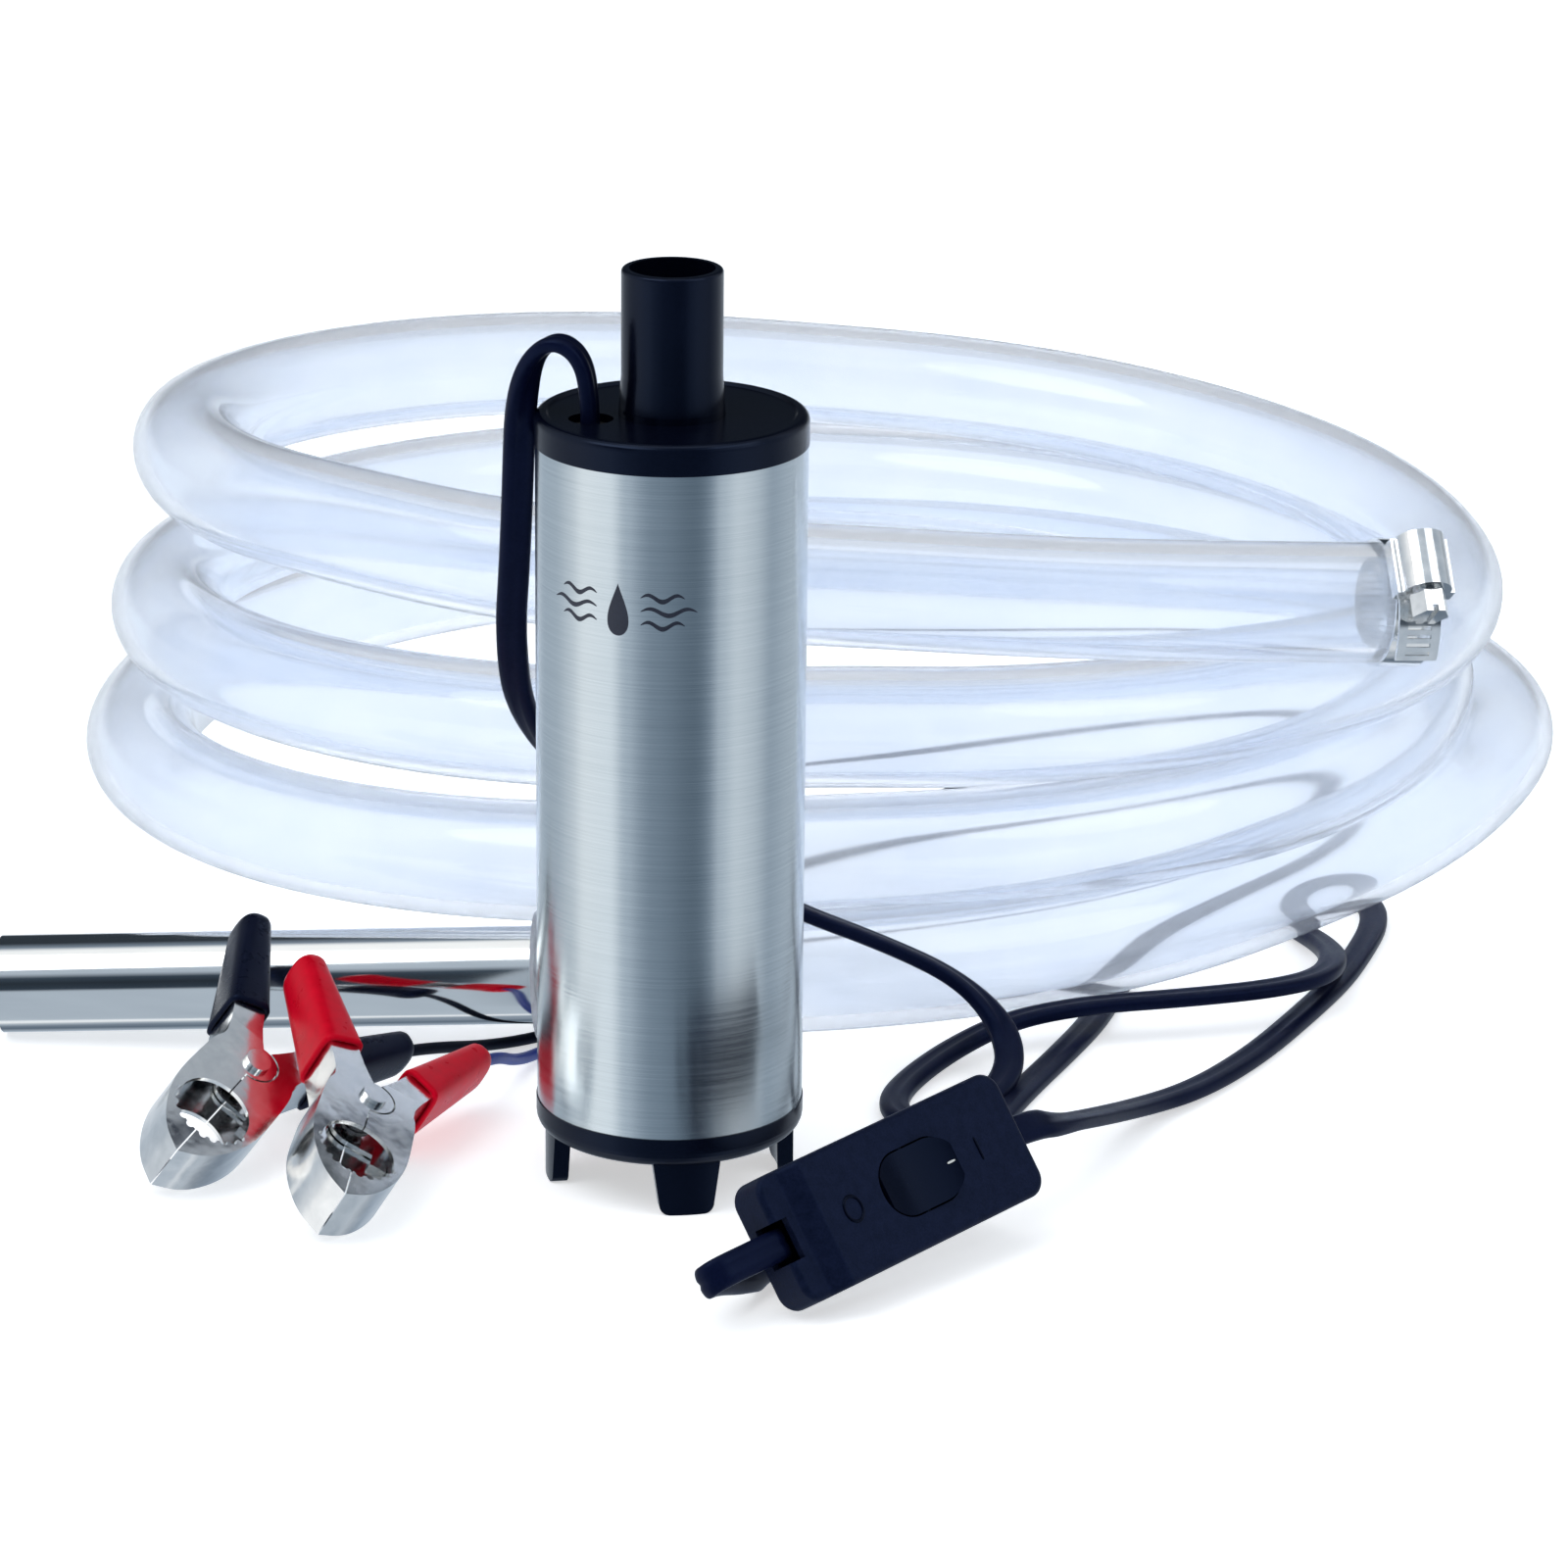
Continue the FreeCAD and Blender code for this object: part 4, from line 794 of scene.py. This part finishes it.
def onSleeve(u, v):
    # u round the sleeve and v up it, from the emblem's centre
    angle = emblem["azimuth"] + u / sleeveRadius
    r = sleeveRadius + emblem["lift"]
    return np.stack([r * np.sin(angle), -r * np.cos(angle), emblem["height"] + v], -1)


def makeEmblem(spec):
    # droplet: half width = sin t x (sin of t/2)^1.5, height = cos t; waves: sine strokes with thin ends
    rows = spec["dropRows"]
    columns = spec["dropColumns"]
    t = np.linspace(spec["dropTip"], math.pi - spec["dropTip"], rows)
    half = spec["dropHalf"] * np.sin(t) * np.sin(t / 2) ** 1.5
    u = half[:, None] * np.linspace(-1, 1, columns)[None, :]
    v = np.broadcast_to(spec["dropTall"] * np.cos(t)[:, None], u.shape)
    verts = [onSleeve(u, v).reshape(-1, 3)]
    faces = [face[::-1] for face in gridFaces(rows, columns, closeColumns=False)]
    strip = np.array(gridFaces(spec["wavePoints"], 2, closeColumns=False))
    w = np.linspace(0, 1, spec["wavePoints"])
    base = rows * columns
    for side in (-1, 1):
        for level in (-1, 0, 1):
            reach = spec["waveLong"] * (1 - spec["waveShorter"] * abs(level))
            u = side * (spec["dropHalf"] + spec["waveGap"] + w * reach)
            v = level * spec["waveStep"] + spec["waveRise"] * np.sin(w * spec["waves"] * 2 * math.pi)
            thick = spec["stroke"] * np.sqrt(np.clip(np.sin(w * math.pi), spec["strokeLeast"], 1))
            edges = np.stack([onSleeve(u, v - thick), onSleeve(u, v + thick)], 1)
            verts.append(edges.reshape(-1, 3))
            faces += (strip[:, ::-side] + base).tolist()
            base += 2 * spec["wavePoints"]
    piece = newPiece("sleeveEmblem", np.concatenate(verts), faces, "pump")
    piece.data.materials.append(markPrint)
    return piece


makeEmblem(emblem)
print("marks made")

# a bright floor, a dark card that only reflections see, and a room of light and dark bands
studio = {
    "floorHalf": 12.0, "floorTone": (0.90, 0.91, 0.92), "floorGlow": 0.55, "floorRough": 0.9,
    "cardLeft": -0.078, "cardRight": 0.115, "cardLow": -0.30, "cardHigh": 0.34, "cardY": -0.135,
    "cardTones": [(0.0, 0.62), (0.10, 0.48), (0.21, 0.38), (0.37, 0.33), (0.53, 0.26), (0.64, 0.23),
                  (0.74, 0.26), (0.84, 0.38), (0.93, 0.56), (1.0, 0.80)],
    "keyPower": 9.0, "keySize": 1.4, "keyPlace": (-0.9, -0.5, 1.7),
    "fillPower": 5.0, "fillSize": 1.4, "fillPlace": (1.3, -0.6, 1.3),
    "lampAim": (0, 0.1, 0.05),
}
# degrees and brightness: by compass direction with 0 at the front, then by elevation
room = {
    "compass": [(-180, 0.80), (-168, 0.90), (-136, 0.62), (-112, 0.64), (-90, 0.86), (-80, 1.08),
                (-50, 1.10), (-40, 0.68), (40, 0.62), (58, 0.92), (78, 0.76), (94, 0.52), (110, 0.60),
                (142, 0.74), (180, 0.80)],
    "isFront": [(-80, 0), (-55, 1), (55, 1), (80, 0)],
    "isBack": [(-150, 1), (-120, 0), (120, 0), (150, 1)],
    "frontBand": [(-1, 1), (4, 0.10), (18, 0.05), (30, 0.12), (40, 1)],
    "backBand": [(-90, 0.7), (-64, 0.25), (-40, 0.7), (-15, 1), (-3, 1), (4, 0.05), (50, 0.04), (66, 0.5),
                 (72, 1)],
    "isOverhead": [(64, 0), (72, 1)],
    "ceiling": (1.15, 1.15, 1.15, 1),
    "whiteThroughHose": 0.7,
}


def makeFloor(spec):
    h = spec["floorHalf"]
    mesh = bpy.data.meshes.new("floor")
    mesh.from_pydata([(-h, -h, 0), (h, -h, 0), (h, h, 0), (-h, h, 0)], [], [(0, 1, 2, 3)])
    floor = bpy.data.objects.new("floor", mesh)
    scene.collection.objects.link(floor)
    paint = bpy.data.materials.new("floorPaint")
    paint.use_nodes = True
    shader = paint.node_tree.nodes["Principled BSDF"]
    shader.inputs["Base Color"].default_value = (*spec["floorTone"], 1)
    shader.inputs["Roughness"].default_value = spec["floorRough"]
    shader.inputs["Specular IOR Level"].default_value = 0.0
    shader.inputs["Emission Color"].default_value = (1, 1, 1, 1)
    shader.inputs["Emission Strength"].default_value = spec["floorGlow"]
    mesh.materials.append(paint)
    floor.visible_glossy = False


def makeCard(spec):
    # dark at its middle, so that the sleeve shows a dark upright band
    left = spec["cardLeft"]
    right = spec["cardRight"]
    low = spec["cardLow"]
    high = spec["cardHigh"]
    y = spec["cardY"]
    mesh = bpy.data.meshes.new("darkCard")
    corners = [(left, y, low), (right, y, low), (right, y, high), (left, y, high)]
    mesh.from_pydata(corners, [], [(0, 1, 2, 3)])
    card = bpy.data.objects.new("darkCard", mesh)
    scene.collection.objects.link(card)
    paint = bpy.data.materials.new("cardPaint")
    paint.use_nodes = True
    tree = paint.node_tree
    tree.nodes.clear()
    place = nodeAt(tree, "ShaderNodeTexCoord")
    split = nodeAt(tree, "ShaderNodeSeparateXYZ")
    share = nodeAt(tree, "ShaderNodeMapRange")
    share.inputs["From Min"].default_value = left
    share.inputs["From Max"].default_value = right
    glow = nodeAt(tree, "ShaderNodeEmission")
    out = nodeAt(tree, "ShaderNodeOutputMaterial")
    ramp = nodeAt(tree, "ShaderNodeValToRGB")
    fillRamp(ramp.color_ramp, spec["cardTones"])
    tree.links.new(place.outputs["Object"], split.inputs[0])
    tree.links.new(split.outputs["X"], share.inputs["Value"])
    tree.links.new(share.outputs[0], ramp.inputs["Fac"])
    tree.links.new(ramp.outputs["Color"], glow.inputs["Color"])
    tree.links.new(glow.outputs[0], out.inputs["Surface"])
    mesh.materials.append(paint)
    card.visible_camera = False
    card.visible_diffuse = False
    card.visible_transmission = False
    card.visible_shadow = False


def coolTone(b):
    # greys of the room lean to blue, whites stay neutral
    return (b * (0.48 + 0.48 * min(b, 1)), b * (0.72 + 0.26 * min(b, 1)), b, 1)


def fillRamp(ramp, stops):
    while len(ramp.elements) < len(stops):
        ramp.elements.new(0.5)
    for element, (place, brightness) in zip(ramp.elements, stops):
        element.position = place
        element.color = coolTone(brightness)


def makeLamp(name, power, size, place, aim):
    data = bpy.data.lights.new(name, "AREA")
    data.shape = "DISK"
    data.size = size
    data.energy = power
    lamp = bpy.data.objects.new(name, data)
    lamp.location = place
    lamp.rotation_mode = "QUATERNION"
    lamp.rotation_quaternion = (Vector(aim) - Vector(place)).to_track_quat("-Z", "Y")
    scene.collection.objects.link(lamp)


def makeSurroundings(spec):
    # brightness by compass direction, times dark bands by elevation; white to the camera, and nearly so
    # through the hose
    world = bpy.data.worlds.new("studio")
    world.use_nodes = True
    scene.world = world
    tree = world.node_tree
    tree.nodes.clear()
    link = tree.links.new
    place = nodeAt(tree, "ShaderNodeTexCoord")
    split = nodeAt(tree, "ShaderNodeSeparateXYZ")
    link(place.outputs["Generated"], split.inputs[0])
    back = nodeAt(tree, "ShaderNodeMath", operation="MULTIPLY")
    back.inputs[1].default_value = -1
    link(split.outputs["Y"], back.inputs[0])
    compass = nodeAt(tree, "ShaderNodeMath", operation="ARCTAN2")
    link(split.outputs["X"], compass.inputs[0])
    link(back.outputs[0], compass.inputs[1])
    around = nodeAt(tree, "ShaderNodeMapRange")
    around.inputs["From Min"].default_value = -math.pi
    around.inputs["From Max"].default_value = math.pi
    link(compass.outputs[0], around.inputs["Value"])
    rise = nodeAt(tree, "ShaderNodeMath", operation="ARCSINE")
    link(split.outputs["Z"], rise.inputs[0])
    height = nodeAt(tree, "ShaderNodeMapRange")
    height.inputs["From Min"].default_value = -math.pi / 2
    height.inputs["From Max"].default_value = math.pi / 2
    link(rise.outputs[0], height.inputs["Value"])

    def ramped(source, stops, low, high):
        node = nodeAt(tree, "ShaderNodeValToRGB")
        fillRamp(node.color_ramp, [((degrees - low) / (high - low), b) for degrees, b in stops])
        link(source, node.inputs["Fac"])
        return node.outputs["Color"]

    def product(a, b):
        node = nodeAt(tree, "ShaderNodeMix", data_type="RGBA", blend_type="MULTIPLY")
        node.inputs["Factor"].default_value = 1
        link(a, node.inputs[6])
        link(b, node.inputs[7])
        return node.outputs[2]

    def mixed(mask, a, b):
        node = nodeAt(tree, "ShaderNodeMix", data_type="RGBA")
        link(mask, node.inputs["Factor"])
        node.inputs[6].default_value = a
        link(b, node.inputs[7])
        return node.outputs[2]

    compassTones = ramped(around.outputs[0], spec["compass"], -180, 180)
    frontMask = ramped(around.outputs[0], spec["isFront"], -180, 180)
    backMask = ramped(around.outputs[0], spec["isBack"], -180, 180)
    frontBand = ramped(height.outputs[0], spec["frontBand"], -90, 90)
    backBand = ramped(height.outputs[0], spec["backBand"], -90, 90)
    overhead = ramped(height.outputs[0], spec["isOverhead"], -90, 90)
    white = (1, 1, 1, 1)
    whole = product(compassTones, mixed(frontMask, white, frontBand))
    whole = product(whole, mixed(backMask, white, backBand))
    lit = nodeAt(tree, "ShaderNodeMix", data_type="RGBA")
    link(overhead, lit.inputs["Factor"])
    link(whole, lit.inputs[6])
    lit.inputs[7].default_value = spec["ceiling"]
    toned = nodeAt(tree, "ShaderNodeBackground")
    link(lit.outputs[2], toned.inputs["Color"])
    plain = nodeAt(tree, "ShaderNodeBackground")
    plain.inputs["Color"].default_value = white
    path = nodeAt(tree, "ShaderNodeLightPath")
    throughHose = nodeAt(tree, "ShaderNodeMath", operation="MULTIPLY")
    throughHose.inputs[1].default_value = spec["whiteThroughHose"]
    link(path.outputs["Is Transmission Ray"], throughHose.inputs[0])
    plainShare = nodeAt(tree, "ShaderNodeMath", operation="MAXIMUM")
    link(path.outputs["Is Camera Ray"], plainShare.inputs[0])
    link(throughHose.outputs[0], plainShare.inputs[1])
    choose = nodeAt(tree, "ShaderNodeMixShader")
    out = nodeAt(tree, "ShaderNodeOutputWorld")
    link(plainShare.outputs[0], choose.inputs["Fac"])
    link(toned.outputs[0], choose.inputs[1])
    link(plain.outputs[0], choose.inputs[2])
    link(choose.outputs[0], out.inputs["Surface"])


makeFloor(studio)
makeCard(studio)
makeSurroundings(room)
makeLamp("keyLamp", studio["keyPower"], studio["keySize"], studio["keyPlace"], studio["lampAim"])
makeLamp("fillLamp", studio["fillPower"], studio["fillSize"], studio["fillPlace"], studio["lampAim"])
scene.view_settings.view_transform = "Standard"
scene.cycles.max_bounces = 40
scene.cycles.transmission_bounces = 40
scene.cycles.glossy_bounces = 8
scene.cycles.transparent_max_bounces = 24
print("studio made")
